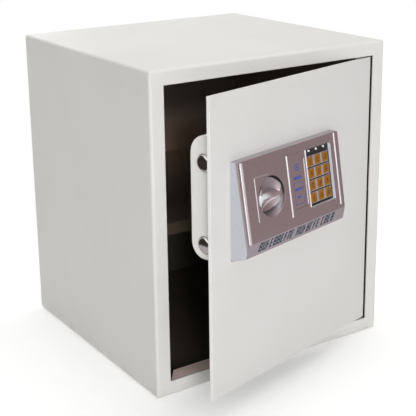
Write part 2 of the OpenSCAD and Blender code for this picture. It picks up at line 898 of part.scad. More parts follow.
// Moulded housing with a knob well, a keypad window and a keyhole pocket in its sloping face
module control_panel() {
    color(silver)
        on_panel()
            difference() {
                union() {
                    difference() {
                        panel_wedge(0);
                        panel_wedge(panel_wall);
                    }
                    intersection() {
                        panel_wedge(0);
                        union() {
                            translate([knob_u, 0, knob_z])
                                rod_y(well_r + panel_wall, -nose_p, -well_floor + panel_wall);
                            face_frame() {
                                block([window_u - rim_t, 0, window_v - rim_t],
                                      [window_u + window_w + rim_t, plate_depth,
                                       window_v + window_h + rim_t]);
                                block([pocket_u - panel_wall, 0, pocket_v - panel_wall],
                                      [pocket_u + pocket_w + panel_wall, pocket_d + panel_wall,
                                       pocket_v + pocket_h + panel_wall]);
                            }
                            for (u = [boss_in, panel_w - boss_in], z = boss_rows)
                                translate([u, 0, z])
                                    rod_y(boss_r, -nose_p, 0);
                        }
                    }
                    face_frame() {
                        bead(bead_r, [5, 1.5], [5, face_len - 2]);
                        bead(bead_r, [panel_w - 9, 5], [panel_w - 9, face_len - 2]);
                        bead(bead_r, [split_u, bead_low], [split_u, pocket_v + pocket_h - 1.4]);
                        bead(thin_bead_r, [25.5, 22.5], [25.5, 73]);
                        bead(thin_bead_r, [25.5, 73], [50, 72.6]);
                        bead(thin_bead_r, [pocket_end, pocket_v + 2], [pocket_end, pocket_v + pocket_h - 10]);
                        bead(bead_r - 0.2, [window_u - 1.3, window_v + 1.5],
                             [window_u - 1.3, window_v + window_h - 1]);
                    }
                }
                translate([knob_u, -well_floor, knob_z])
                    rotate([90, 0, 0])
                        cylinder(r1 = well_r - well_draft, r2 = well_r + well_draft * 0.9,
                                 h = 2 * (nose_p - well_floor - 9));
                translate([knob_u, 0, knob_z])
                    rod_y(shaft_r + 1.5, -well_floor - 1, 1);
                face_frame() {
                    translate([window_u, 0, window_v])
                        slab_y(-2, plate_depth + 1)
                            round_square([window_w, window_h], 1.5);
                    translate([pocket_u, 0, pocket_v])
                        slab_y(-2, pocket_d)
                            round_square([pocket_w, pocket_h], 1.5);
                }
                translate([lock_u, 0, lock_z])
                    rod_y(barrel_r + 0.6, -nose_p, 1);
                for (u = [boss_in, panel_w - boss_in], z = boss_rows)
                    translate([u, 0, z])
                        rod_y(screw_r, -7.5, 1);
            }
}

module panel_screws() {
    color(zinc)
        on_door()
            at_bosses() {
                rod_y(screw_r, -6.5, door_t);
                rod_y(3.6, door_t, door_t + 2.2);
            }
}

// Middle of a key on the face, counted in rows from the top
function key_u(i) = window_u + window_w / 2 + (i % 3 - 1) * key_pitch_u;
function key_v(i) = window_v + key_rise + (3 - floor(i / 3)) * key_pitch_v;

// Outline of a key with a margin all round
module key_outline(i, margin) {
    translate([key_u(i) - key_w / 2 - margin, key_v(i) - key_h / 2 - margin])
        square([key_w + 2 * margin, key_h + 2 * margin]);
}

module keypad_plate() {
    color(black)
        on_panel()
            face_frame()
                slab_y(plate_depth, plate_depth + keypad_t)
                    difference() {
                        translate([window_u - rim_t, window_v - rim_t])
                            square([window_w + 2 * rim_t, window_h + 2 * rim_t]);
                        for (i = [0:11])
                            key_outline(i, key_gap);
                        for (i = [0:2])
                            translate([key_u(i), light_v])
                                circle(light_r);
                    }
}

// Four bright bars on the plate, each around a row of three keys
module key_frames() {
    over = key_gap + key_frame;
    color("#d9d6d6")
        on_panel()
            face_frame()
                slab_y(key_depth + 0.5, plate_depth)
                    for (row = [0:3])
                        difference() {
                            translate([key_u(0) - key_w / 2 - over, key_v(3 * row) - key_h / 2 - over])
                                square([2 * key_pitch_u + key_w + 2 * over, key_h + 2 * over]);
                            for (i = [0:2])
                                key_outline(3 * row + i, key_gap);
                        }
}

// A key: its cap, and the skirt behind the plate that keeps it in
module keycap(i) {
    back = plate_depth + keypad_t + 0.2;
    color(gold)
        on_panel()
            face_frame() {
                slab_y(key_depth, back + key_skirt)
                    key_outline(i, 0);
                slab_y(back, back + key_skirt)
                    key_outline(i, key_gap + key_skirt_w);
            }
}

// Circuit board behind the keys, with a buzzer and the posts that hold it to the plate
module keypad_board() {
    color("#2f6b45")
        on_panel()
            face_frame() {
                block([window_u - rim_t, board_depth, window_v - rim_t],
                      [window_u + window_w + rim_t, board_depth + board_t, window_v + window_h + rim_t]);
                for (u = [window_u + 0.4, window_u + window_w - 0.4],
                     v = [window_v + 0.4, window_v + window_h - 0.4])
                    translate([u, 0, v])
                        rod_y(1.2, plate_depth + keypad_t, board_depth + board_t / 2);
                translate([window_u + 12, 0, window_v + 10])
                    rod_y(6, board_depth + board_t / 2, board_depth + board_t + 5);
            }
}

module indicator_lights() {
    color("#e8e8e4")
        on_panel()
            face_frame()
                for (i = [0:2])
                    translate([key_u(i), 0, light_v]) {
                        rod_y(light_r, plate_depth - 0.6, board_depth);
                        translate([0, plate_depth - 0.6, 0])
                            sphere(r = light_r);
                    }
}

// Threaded barrel of the key lock, with its flange against the door
module key_lock_barrel() {
    color(steel)
        on_door()
            translate([panel_u + lock_u, 0, panel_up + lock_z])
                difference() {
                    union() {
                        rod_y(barrel_r, -barrel_p, barrel_end);
                        rod_y(barrel_r + 2.5, -2, 0);
                    }
                    rod_y(plug_r + run_gap, -barrel_p - 1, barrel_end + 1);
                }
}

module key_lock_nut() {
    color(zinc)
        on_door()
            translate([panel_u + lock_u, 0, panel_up + lock_z])
                difference() {
                    translate([0, door_t, 0])
                        rotate([-90, 0, 0])
                            cylinder(r = barrel_r + 4, h = 4, $fn = 6);
                    rod_y(barrel_r, 0, door_t + 5);
                }
}

// Turning core of the key lock, with its keyway and a flat-sided tail
module key_lock_plug() {
    color("#c9a24a")
        on_door()
            translate([panel_u + lock_u, 0, panel_up + lock_z])
                difference() {
                    union() {
                        rod_y(plug_r, -barrel_p + 0.4, barrel_end + 0.6);
                        intersection() {
                            rod_y(plug_r - 1, barrel_end, barrel_end + 3.6);
                            block([-3, barrel_end, -plug_r], [3, barrel_end + 4, plug_r]);
                        }
                    }
                    block([-1.2, -barrel_p - 1, -3.5], [1.2, -barrel_p + 9, 3.5]);
                }
}

// Arm on the plug's tail that lifts the release link
module lock_cam() {
    color(zinc)
        on_door()
            translate([panel_u + lock_u, 0, panel_up + lock_z])
                difference() {
                    slab_y(barrel_end + 0.6, barrel_end + 2.6)
                        union() {
                            circle(7.5);
                            translate([0, -cam_w / 2])
                                square([cam_len - cam_w / 2, cam_w]);
                            translate([cam_len - cam_w / 2, 0])
                                circle(cam_w / 2);
                        }
                    intersection() {
                        rod_y(plug_r - 1, barrel_end - 1, barrel_end + 4);
                        block([-3, barrel_end - 2, -plug_r], [3, barrel_end + 5, plug_r]);
                    }
                }
}

// Fork that holds the coil, with its foot on the door
module solenoid_frame() {
    color(zinc)
        on_door()
            difference() {
                block([plunger_u - sol_w / 2, door_t, sol_z],
                      [plunger_u + sol_w / 2, bolt_depth + coil_r + 1, sol_top]);
                block([plunger_u - sol_w / 2 - 1, door_t + fork_t, sol_z + fork_t],
                      [plunger_u + sol_w / 2 + 1, bolt_depth + coil_r + 2, sol_top - fork_t]);
                translate([plunger_u, bolt_depth, sol_z - 1])
                    cylinder(r = plunger_r + run_gap, h = sol_top - sol_z + 2);
            }
}

module solenoid_coil() {
    color("#7c3a1e")
        on_door()
            translate([plunger_u, bolt_depth, sol_z + fork_t])
                difference() {
                    union() {
                        cylinder(r = coil_r - 1.4, h = coil_len);
                        for (z = [0, coil_len - 1.5])
                            translate([0, 0, z])
                                cylinder(r = coil_r, h = 1.5);
                    }
                    translate([0, 0, -1])
                        cylinder(r = plunger_r + run_gap, h = coil_len + 2);
                }
}

// Iron rod that drops into the carriage's notch, with a collar for its spring
module solenoid_plunger() {
    low = arm_high + tip_gap;
    color(steel)
        on_door()
            translate([plunger_u, bolt_depth, 0]) {
                translate([0, 0, low])
                    cylinder(r = plunger_r, h = sol_top + 1 - low);
                translate([0, 0, collar_z])
                    cylinder(r = plunger_r + 2, h = collar_t);
            }
}

module plunger_spring() {
    wire = 0.35;
    turns = 4;
    low = collar_z + collar_t + wire;
    run = sol_z - wire - low;
    coil = plunger_r + 1;
    route = [for (a = [0:20:360 * turns])
        [coil * cos(a), coil * sin(a), run * a / (360 * turns)]];
    color(steel)
        on_door()
            translate([plunger_u, bolt_depth, low])
                swept_tube(route, wire, 6);
}

// Strip from the plunger's head down to the key lock's arm
module release_link() {
    tail = panel_up + lock_z + cam_len + 1;
    right = panel_u + lock_u + cam_w / 2;
    color(zinc)
        on_door()
            slab_y(bolt_depth - 1, bolt_depth + 1)
                union() {
                    translate([plunger_u - 5, sol_top + 1])
                        square([right - plunger_u + 5, link_t + 1]);
                    translate([right - cam_w, tail])
                        square([cam_w, sol_top + 1 + link_t - tail]);
                }
}

// Control board on four legs behind the door plate
module main_board() {
    low = [box_u + 3, door_t + 5, box_up - board_over];
    high = [low.x + board_w, door_t + 6.6, box_up + box_h + board_over];
    color("#2f6b45")
        on_door() {
            block(low, high);
            for (u = [low.x + 3, high.x - 3], z = [low.z + 3, high.z - 3])
                translate([u, 0, z])
                    rod_y(2, door_t, door_t + 5);
            block([low.x + 8, high.y, low.z + 20], [low.x + 20, high.y + 2.5, low.z + 40]);
            block([low.x + 26, high.y, low.z + 12], [low.x + 38, high.y + 5, low.z + 17]);
            translate([low.x + 30, 0, low.z + 50])
                rod_y(4, high.y, high.y + 6);
        }
}

// Open tray for four cells, behind an opening in the housing
module battery_box() {
    color(black)
        on_door()
            translate([box_u, rear_y - housing_wall - box_d, box_up])
                difference() {
                    block([0, 0, 0], [box_w, box_d, box_h]);
                    block([box_wall, box_wall, box_wall],
                          [box_w - box_wall, box_d + 1, box_h - box_wall]);
                }
}

module cell_rows() {
    for (i = [0:3])
        translate([box_u + box_w / 2, rear_y - housing_wall - box_d + box_wall + cell_r,
                   box_up + box_wall + (i + 0.5) * cell_pitch])
            mirror([i % 2, 0, 0])
                children();
}

// Cells with their tips, each turned against the next
module batteries() {
    half = (box_w - 2 * box_wall) / 2;
    color("#8d6a3a")
        on_door()
            cell_rows()
                union() {
                    rod_x(cell_r, 5 - half, 5 - half + cell_len);
                    rod_x(2.7, 5 - half + cell_len, 6 - half + cell_len);
                }
}

// A tapered spring and a flat plate for each cell
module battery_contacts() {
    half = (box_w - 2 * box_wall) / 2;
    color(steel)
        on_door()
            cell_rows() {
                translate([-half, 0, 0])
                    rotate([0, 90, 0])
                        cylinder(r1 = 5, r2 = 2.5, h = 5);
                block([6 - half + cell_len, -5, -5], [half, 5, 5]);
            }
}

module battery_cover() {
    low = rear_y + cover_gap;
    color(cream)
        on_door()
            difference() {
                block([box_u - cover_over, low, box_up - 2],
                      [box_u + box_w + cover_over, low + cover_t, box_up + box_h]);
                for (i = [0:4])
                    block([box_u + box_w / 2 - 10, low + cover_t - 0.7, box_up + 4 + 3 * i],
                          [box_u + box_w / 2 + 10, low + cover_t + 1, box_up + 5.2 + 3 * i]);
            }
}

// Body of the reset switch, held in the housing's back wall
module reset_switch() {
    color(black)
        on_door()
            translate([reset_u, 0, reset_z])
                difference() {
                    rod_y(6, rear_y - housing_wall - 10, rear_y - housing_wall);
                    rod_y(reset_r - 0.6 + run_gap, rear_y - housing_wall - 8, rear_y);
                }
}

module reset_button() {
    color("#b3261e")
        on_door()
            translate([reset_u, 0, reset_z]) {
                rod_y(reset_r - 0.6, rear_y - housing_wall - 8 + reset_travel + 0.3, rear_y + 1);
                rod_y(reset_r, rear_y - housing_wall + reset_travel + 0.1, rear_y + reset_travel + 0.6);
            }
}

// Leads from the keypad through the door to the board, and on to the coil
module wire_loom() {
    keypad_lead = [[loom_u, loom_y, loom_z], [loom_u, loom_y + 5, loom_z - 0.9],
                   [loom_u, -1, loom_z - 0.5], [loom_u, door_t + 1, loom_z], [loom_u, door_t + 5, loom_z]];
    coil_u = plunger_u + coil_r - 1.4;
    coil_z = sol_z + fork_t + coil_len / 2;
    start = [box_u + 8, door_t + 6.6, box_up + box_h + 6];
    coil_lead = [start, start + [-0.5, 2.5, 0.5], start + [-6, 4, 1], [box_u - 20, door_t + 8, coil_z + 1],
                 [coil_u + 22, door_t + 8, coil_z], [coil_u + 8, bolt_depth - 2, coil_z],
                 [coil_u, bolt_depth, coil_z]];
    color("#8c2b22")
        on_door() {
            swept_tube(keypad_lead, 1.5, 8);
            swept_tube(coil_lead, 1.1, 8);
        }
}

// Puts the knob's frame on its axis, with -Y towards the hand
module on_shaft() {
    on_door()
        translate([shaft_u, 0, shaft_z])
            children();
}

// Finger scoop above the grip bar, with a sloping wall along the bar
module scoop() {
    intersection() {
        translate([0, -(knob_p - scoop_depth + scoop_r), knob_r * 0.6])
            sphere(r = scoop_r, $fn = 96);
        translate([0, -knob_p, grip_w / 2])
            rotate([grip_slope, 0, 0])
                block([-2 * knob_r, -2 * knob_r, 0], [2 * knob_r, 2 * knob_r, 3 * knob_r]);
    }
}

module knob() {
    base = well_floor + 0.5;
    color(silver)
        on_shaft()
            difference() {
                union() {
                    rod_y(knob_r, 1.2 - knob_p, -base);
                    translate([0, 1.2 - knob_p, 0])
                        rotate([90, 0, 0])
                            cylinder(r1 = knob_r, r2 = knob_r - 1.2, h = 1.2);
                }
                for (m = [0, 1])
                    mirror([0, 0, m])
                        scoop();
                rod_y(shaft_r, -base - 5, 0);
            }
}

module knob_shaft() {
    color(steel)
        on_shaft()
            rod_y(shaft_r, -well_floor - 5.5, cam_y + cam_t + 1.4);
}

// Crank on the knob's shaft, whose pin runs in the carriage's slot
module drive_cam() {
    color(steel)
        on_shaft()
            rotate([0, knob_turn / 2, 0])
                difference() {
                    union() {
                        rod_y(6.5, door_t + 0.3, cam_y + cam_t);
                        slab_y(cam_y, cam_y + cam_t)
                            round_slot([0, 0], [0, crank_r], 6);
                        slab_y(cam_y, cam_y + cam_t)
                            circle(9);
                        translate([0, 0, crank_r])
                            rod_y(crank_pin_r, cam_y, bolt_depth + plate_t / 2 + 1);
                    }
                    rod_y(shaft_r, 0, cam_y + cam_t + 1);
                }
}

module cam_clip() {
    color(zinc)
        on_shaft()
            difference() {
                rod_y(shaft_r + 2.5, cam_y + cam_t, cam_y + cam_t + 0.8);
                rod_y(shaft_r, cam_y, cam_y + cam_t + 2);
            }
}

// Cover of the keyhole pocket, which pulls off to reach the lock
module keyhole_cover() {
    gap = 0.2;
    color(silver)
        on_panel()
            face_frame()
                translate([pocket_u + gap, 0, pocket_v + gap])
                    slab_y(0.3, pocket_d - gap)
                        round_square([pocket_w - 2 * gap, pocket_h - 2 * gap], 1.3);
}

cabinet_shell();
doorway_lips();
back_panel();
shelf();
shelf_brackets();
floor_mat();
hinge_bushes();
hinge_washer();
door_plate();
housing_studs();
hinge_stile();
hinge_pins();
bolt_housing();
housing_nuts();
bolt_guide();
guide_studs();
control_panel();
panel_screws();
keypad_plate();
key_frames();
keypad_board();
indicator_lights();
key_lock_barrel();
key_lock_nut();
solenoid_frame();
solenoid_coil();
plunger_spring();
main_board();
battery_box();
battery_contacts();
batteries();
reset_switch();
wire_loom();
knob();
knob_shaft();
drive_cam();
cam_clip();
bolt_carriage();
locking_bolts();
carriage_rivets();
key_lock_plug();
lock_cam();
solenoid_plunger();
release_link();
keyhole_cover();
battery_cover();
reset_button();
for (i = [0:11])
    keycap(i);
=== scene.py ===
import json
import math
import random

import bmesh
import bpy
from mathutils import Matrix, Vector

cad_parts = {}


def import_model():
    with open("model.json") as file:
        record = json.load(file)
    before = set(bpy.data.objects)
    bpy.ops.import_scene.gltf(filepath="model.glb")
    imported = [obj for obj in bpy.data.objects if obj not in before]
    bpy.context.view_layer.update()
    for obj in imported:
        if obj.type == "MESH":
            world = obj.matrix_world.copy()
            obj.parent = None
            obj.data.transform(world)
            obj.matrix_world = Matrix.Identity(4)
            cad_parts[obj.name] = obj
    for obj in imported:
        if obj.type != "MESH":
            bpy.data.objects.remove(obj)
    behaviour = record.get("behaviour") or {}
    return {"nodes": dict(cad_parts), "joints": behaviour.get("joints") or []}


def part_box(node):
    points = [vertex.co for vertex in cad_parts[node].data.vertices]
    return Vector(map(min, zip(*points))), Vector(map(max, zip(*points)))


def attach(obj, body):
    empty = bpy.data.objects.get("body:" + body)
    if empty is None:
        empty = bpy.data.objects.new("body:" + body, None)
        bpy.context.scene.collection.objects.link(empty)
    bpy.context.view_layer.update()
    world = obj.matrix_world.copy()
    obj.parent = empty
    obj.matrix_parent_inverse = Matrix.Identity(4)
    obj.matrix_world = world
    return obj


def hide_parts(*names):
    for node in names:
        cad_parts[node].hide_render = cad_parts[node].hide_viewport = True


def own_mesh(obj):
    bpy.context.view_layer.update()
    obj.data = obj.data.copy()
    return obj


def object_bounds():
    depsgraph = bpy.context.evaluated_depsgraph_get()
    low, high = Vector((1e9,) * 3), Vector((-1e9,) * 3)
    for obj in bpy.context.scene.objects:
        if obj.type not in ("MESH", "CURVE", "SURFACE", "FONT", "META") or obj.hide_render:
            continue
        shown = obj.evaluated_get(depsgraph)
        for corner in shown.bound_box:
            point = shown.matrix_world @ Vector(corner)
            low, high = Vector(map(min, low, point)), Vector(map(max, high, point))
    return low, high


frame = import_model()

# Electronic home safe with its door ajar: paint, metal and plastic for every piece,
# printed marks on the control panel, a pale floor and soft studio light.
# Metres, origin in the middle of the base, front towards -Y, hinges on the +X side.

nodes = frame["nodes"]
joints = {joint["name"]: joint for joint in frame["joints"]}
cadBox = [list(corner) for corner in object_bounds()]
random.seed(7)


def mm(value):
    return value / 1000


def span(points):
    # lowest and highest corner of some points
    return [Vector([pick(point[axis] for point in points) for axis in range(3)])
            for pick in (min, max)]


# Where the door is: its hinge, its angle at rest and its lower free corner when closed
hinge = Vector(joints["door_hinge"]["pos_m"])
doorAngle = math.radians(-joints["door_hinge"]["range_deg"][0])
closeDoor = (Matrix.Translation(hinge) @ Matrix.Rotation(-doorAngle, 4, "Z")
             @ Matrix.Translation(-hinge))
openDoor = closeDoor.inverted()


def closedPoints(name):
    # the points of a piece on the door, as they are when the door is closed
    return [closeDoor @ vertex.co for vertex in nodes[name].data.vertices]


doorCorner = span(closedPoints("door_plate"))[0]


def closedSpan(name):
    # the same piece's lowest and highest corner, from the door's corner
    return [corner - doorCorner for corner in span(closedPoints(name))]


# Side view of the control panel: how far its nose, the strip under it and its brow stand out, and
# how high they are. Then the window's left, right, bottom and top on the sloping face.
panelShape = {
    "nose": (mm(24.8), mm(24.4)),
    "chin": (mm(22), mm(8.4)),
    "brow": (mm(9.9), mm(119)),
    "window": (mm(123), mm(172.5), mm(14.6), mm(85.1)),
}
noseOut, noseUp = panelShape["nose"]
browOut, browUp = panelShape["brow"]
faceTilt = math.atan((noseOut - browOut) / (browUp - noseUp))
panelCorner = closedSpan("control_panel")[0]
panelCorner.y = 0
faceCorner = panelCorner + Vector((0, -noseOut, noseUp))
onDoor = openDoor @ Matrix.Translation(doorCorner)
onPanel = onDoor @ Matrix.Translation(panelCorner)
onFace = onDoor @ Matrix.Translation(faceCorner) @ Matrix.Rotation(-faceTilt, 4, "X")
print("frame: door open by", round(math.degrees(doorAngle), 2), "degrees, face tilted by",
      round(math.degrees(faceTilt), 2))


class Socket:
    # one value in a shader, so that maths on it is written as plain expressions
    def __init__(self, finish, output):
        self.finish = finish
        self.output = output

    def maths(self, operation, *values):
        return self.finish.node("Math", {"operation": operation}, dict(enumerate(values)))

    def __add__(self, other):
        return self.maths("ADD", self, other)

    def __radd__(self, other):
        return self.maths("ADD", other, self)

    def __sub__(self, other):
        return self.maths("SUBTRACT", self, other)

    def __rsub__(self, other):
        return self.maths("SUBTRACT", other, self)

    def __mul__(self, other):
        return self.maths("MULTIPLY", self, other)

    def __rmul__(self, other):
        return self.maths("MULTIPLY", other, self)

    def __truediv__(self, other):
        return self.maths("DIVIDE", self, other)

    def __abs__(self):
        return self.maths("ABSOLUTE", self)

    def over(self, limit):
        return self.maths("GREATER_THAN", self, limit)

    def under(self, limit):
        return self.maths("LESS_THAN", self, limit)

    def least(self, other):
        return self.maths("MINIMUM", self, other)

    def most(self, other):
        return self.maths("MAXIMUM", self, other)

    def fraction(self):
        return self.maths("FRACT", self)

    def whole(self):
        return self.maths("FLOOR", self)

    def sine(self):
        return self.maths("SINE", self)

    def root(self):
        return self.maths("SQRT", self)

    def between(self, low, high):
        return self.over(low) * self.under(high)

    def rise(self, low, high):
        # smoothly from 0 at low to 1 at high
        limits = {"Value": self, "From Min": low, "From Max": high}
        return self.finish.node("MapRange", {"interpolation_type": "SMOOTHSTEP"}, limits)

    def fall(self, low, high):
        # smoothly from 1 at low to 0 at high
        return 1 - self.rise(low, high)

    def band(self, low, lowFull, highFull, high):
        # 1 from lowFull to highFull, and 0 outside low and high
        return self.rise(low, lowFull) * self.fall(highFull, high)


class Finish:
    # a material, and one method that makes any kind of node in it
    def __init__(self, name):
        self.material = bpy.data.materials.new(name)
        self.material.use_nodes = True
        self.begin(self.material.node_tree, "Object")

    def begin(self, tree, placeFrom):
        self.tree = tree
        self.tree.nodes.clear()
        self.place = self.node("TexCoord", output=placeFrom)

    def node(self, kind, settings={}, sockets={}, output=0):
        made = self.tree.nodes.new("ShaderNode" + kind)
        for name, value in settings.items():
            setattr(made, name, value)
        for name, value in sockets.items():
            if isinstance(value, Socket):
                self.tree.links.new(value.output, made.inputs[name])
            elif made.inputs[name].type == "RGBA":
                made.inputs[name].default_value = (*value[:3], 1)
            else:
                made.inputs[name].default_value = value
        return Socket(self, made.outputs[output])

    def split(self, vector):
        parts = self.node("SeparateXYZ", {}, {0: vector})
        return [Socket(self, output) for output in parts.output.node.outputs]

    def mix(self, factor, first, second):
        return self.node("Mix", {"data_type": "RGBA"}, {0: factor, 6: first, 7: second}, 2)

    def noise(self, perMetre, detail=2, roughness=0.5, place=None):
        return self.node("TexNoise", {}, {"Vector": place or self.place, "Scale": perMetre,
                                          "Detail": detail, "Roughness": roughness})

    def patches(self, perMetre, low, high, detail=3, roughness=0.5, place=None):
        # spots where the noise is over low, full where it is over high
        return self.noise(perMetre, detail, roughness, place).rise(low, high)

    def cells(self, perMetre, place=None, output="Distance"):
        sockets = {"Vector": place or self.place, "Scale": perMetre}
        return self.node("TexVoronoi", {}, sockets, output)

    def vectorMath(self, operation, first, second=(0, 0, 0), output="Vector"):
        return self.node("VectorMath", {"operation": operation}, {0: first, 1: second}, output)

    def stretched(self, scale, place=None):
        # the place squeezed along some axes, for drawn or brushed marks
        return self.vectorMath("MULTIPLY", place or self.place, scale)

    def dot(self, place, direction):
        return self.vectorMath("DOT_PRODUCT", place, direction, "Value")

    def turned(self, place, centre, angle, axis):
        sockets = {"Vector": place, "Center": centre, "Angle": angle}
        return self.node("VectorRotate", {"rotation_type": axis + "_AXIS"}, sockets)

    def closedPlace(self):
        # the place on the door as it is when the door is closed, from its lower free corner
        place = self.turned(self.place, hinge, -doorAngle, "Z")
        return self.vectorMath("SUBTRACT", place, doorCorner)

    def bump(self, height, strength, distance, radius=None):
        # radius: how far the edges of the solid look rounded
        sockets = {"Height": height, "Strength": strength, "Distance": distance}
        if radius:
            sockets["Normal"] = self.node("Bevel", {"samples": 4}, {"Radius": radius})
        return self.node("Bump", {}, sockets)

    def done(self, sockets):
        return self.shown(self.node("BsdfPrincipled", {}, sockets))

    def shown(self, shader):
        out = self.tree.nodes.new("ShaderNodeOutputMaterial")
        self.tree.links.new(shader.output, out.inputs["Surface"])
        return self.material


def dress(material, *names):
    # gives one material to several CAD pieces
    for name in names:
        slots = nodes[name].data.materials
        slots.clear()
        slots.append(material)


# Powder coat: the fine ripple of its skin, with a little grit
coatLook = {"ripple": 620, "grit": 2600, "gritShare": 0.2, "strength": 0.22, "height": mm(0.12),
            "roughness": 0.42}


def coatSkin(finish, radius, place=None, strength=coatLook["strength"]):
    look = coatLook
    ripple = finish.noise(look["ripple"], 2, 0.5, place) * (1 - look["gritShare"])
    grit = finish.noise(look["grit"], 1, 0.4, place) * look["gritShare"]
    return finish.bump(ripple + grit, strength, look["height"], radius)


# Powder coat outside, on the cabinet and its back panel. Inside, the colour is painted shade,
# darkest under the shelf, with painted light where the back panel meets the shelf
cabinetLook = {
    "paint": (0.775, 0.765, 0.742),
    "shade": (0.705, 0.690, 0.660),
    "dust": (0.42, 0.37, 0.31),
    "thin": (0.80, 0.79, 0.77),
    # painted shade inside, painted light by the shelf, and deeper painted shade under the shelf
    "inside": (0.185, 0.145, 0.118),
    "shelf": (0.800, 0.600, 0.465),
    "below": (0.145, 0.132, 0.096),
    "wall": mm(1.5),
    "dusty": mm(14),  # height above the floor
    "edge": (mm(0.6), mm(2.6)),  # how far the rubbed edges reach, as in the looks below
    "shelfTop": mm(200),
    "darkens": (mm(208), mm(282)),  # from the painted light by the shelf to the painted shade above it
}
cabinetLow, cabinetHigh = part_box("cabinet_shell")


def distanceToEdge(finish):
    # on the outside of the cabinet: how far the nearest outer edge is
    x, y, z = finish.split(finish.place)
    across = cabinetHigh.x - abs(x)
    along = cabinetHigh.y - abs(y)
    up = z.least(cabinetHigh.z - z)
    nearest = across.least(along).least(up)
    farthest = across.most(along).most(up)
    return across + along + up - nearest - farthest


def insideCabinet(finish):
    x, y, z = finish.split(finish.place)
    wall = cabinetLook["wall"]
    within = abs(x).under(cabinetHigh.x - wall) * z.between(wall, cabinetHigh.z - wall)
    return within * y.between(cabinetLow.y + wall, cabinetHigh.y - wall / 2)


def cabinetPaint():
    look = cabinetLook
    finish = Finish("cabinetPaint")
    height = finish.split(finish.place)[2]
    inside = insideCabinet(finish)
    tone = finish.patches(7, 0.35, 0.70)
    colour = finish.mix(tone * 0.35, look["paint"], look["shade"])
    grime = finish.patches(60, 0.48, 0.75, 4) * height.fall(0, look["dusty"])
    colour = finish.mix(grime * 0.35, colour, look["dust"])
    wearAndHighlight = distanceToEdge(finish).fall(*look["edge"]) * finish.patches(240, 0.42, 0.62)
    colour = finish.mix(wearAndHighlight * 0.55, colour, look["thin"])
    # painted light by the shelf fading to painted shade above it, and deeper painted shade under
    # the shelf
    dark = finish.mix(height.rise(*look["darkens"]), look["shelf"], look["inside"])
    dark = finish.mix(height.under(look["shelfTop"]), dark, look["below"])
    colour = finish.mix(inside, colour, dark)
    roughness = coatLook["roughness"] + finish.noise(35, 3) * 0.10 - wearAndHighlight * 0.08 + inside * 0.2
    return finish.done({"Base Color": colour, "Roughness": roughness,
                        "Normal": coatSkin(finish, mm(0.7))})


dress(cabinetPaint(), "cabinet_shell", "back_panel")


# The lips: outside paint towards the doorway, painted warm bounce light on the lowest lip, and
# painted shade behind them and on the hinge side
lipLook = {
    "sillBounceLight": (0.96, 0.74, 0.66),
    "hingeSideShade": (0.030, 0.022, 0.016),
    "rear": (mm(17), mm(19.5)),  # depth from which the paint is rubbed
    "sillHeight": (mm(16), mm(24)),
    "skin": mm(0.2),  # so close to their outer faces the lips get painted shade
    "hingeSide": mm(6),
}


def lipPaint():
    look = lipLook
    coat = cabinetLook
    finish = Finish("lipPaint")
    x, y, z = finish.split(finish.place)
    low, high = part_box("doorway_lips")
    toWall = (x - low.x).least(high.x - x).least(z - low.z).least(high.z - z)
    tone = finish.patches(9, 0.35, 0.70)
    colour = finish.mix(tone * 0.4, coat["shade"], coat["paint"])
    wearAndHighlight = finish.patches(300, 0.45, 0.62) * (y - low.y).rise(*look["rear"])
    colour = finish.mix(wearAndHighlight * 0.4, colour, coat["thin"])
    # painted warm bounce light on the lowest lip
    colour = finish.mix((z - low.z).fall(*look["sillHeight"]) * 0.85, colour, look["sillBounceLight"])
    # painted shade on the lips' outer faces, behind the doorway
    colour = finish.mix(toWall.under(look["skin"]), colour, coat["below"])
    # painted shade on the hinge-side lip, in the gap beside the door
    colour = finish.mix(x.over(high.x - look["hingeSide"]), colour, look["hingeSideShade"])
    return finish.done({"Base Color": colour, "Roughness": coatLook["roughness"] + tone * 0.08,
                        "Normal": coatSkin(finish, mm(0.4))})


dress(lipPaint(), "doorway_lips")


# The door's own coat, laid out on the closed door so that it stays with the door, with painted
# light on the bolt housing and a painted highlight along the free edge
doorLook = {
    "paint": (0.726, 0.717, 0.702),
    "shade": (0.668, 0.655, 0.635),
    "thin": (0.82, 0.81, 0.79),
    "handled": (0.55, 0.52, 0.48),
    # the housing's paler tone is painted light, and the next colour is a painted highlight along
    # the free edge
    "housing": (0.83, 0.82, 0.775),
    "wearAndHighlight": (0.96, 0.95, 0.94),
    "edge": (mm(0.5), mm(1.6)),
    "edgeHighlight": (mm(0.3), mm(1.1)),
    "gripped": (mm(3), mm(26)),  # where fingers pull the door open
    "front": mm(4.5),  # less deep than this is the front of the plate
    "plate": mm(5.5),  # deeper than this is the housing
}


def doorPaint():
    look = doorLook
    finish = Finish("doorPaint")
    place = finish.closedPlace()
    x, y, z = finish.split(place)
    plateLow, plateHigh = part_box("door_plate")
    height = plateHigh.z - plateLow.z
    width = closedSpan("door_plate")[1].x
    tone = finish.patches(6, 0.35, 0.70, place=place)
    colour = finish.mix(tone * 0.35, look["paint"], look["shade"])
    toEdge = x.least(width - x).least(z).least(height - z)
    front = y.under(look["front"])
    wearAndHighlight = toEdge.fall(*look["edge"]) * front * finish.patches(260, 0.40, 0.62, place=place)
    colour = finish.mix(wearAndHighlight * 0.5, colour, look["thin"])
    # painted light on the bolt housing
    colour = finish.mix(y.over(look["plate"]), colour, look["housing"])
    # painted highlight along the free edge
    edgeHighlight = x.fall(*look["edgeHighlight"]) * y.under(look["plate"])
    colour = finish.mix(edgeHighlight * 0.8, colour, look["wearAndHighlight"])
    gripped = x.fall(*look["gripped"]) * finish.patches(24, 0.50, 0.75, place=place) * front
    colour = finish.mix(gripped * 0.12, colour, look["handled"])
    roughness = coatLook["roughness"] + finish.noise(35, 3, place=place) * 0.10
    roughness = roughness - wearAndHighlight * 0.08 - gripped * 0.06
    return finish.done({"Base Color": colour, "Roughness": roughness,
                        "Normal": coatSkin(finish, mm(0.6), place)})


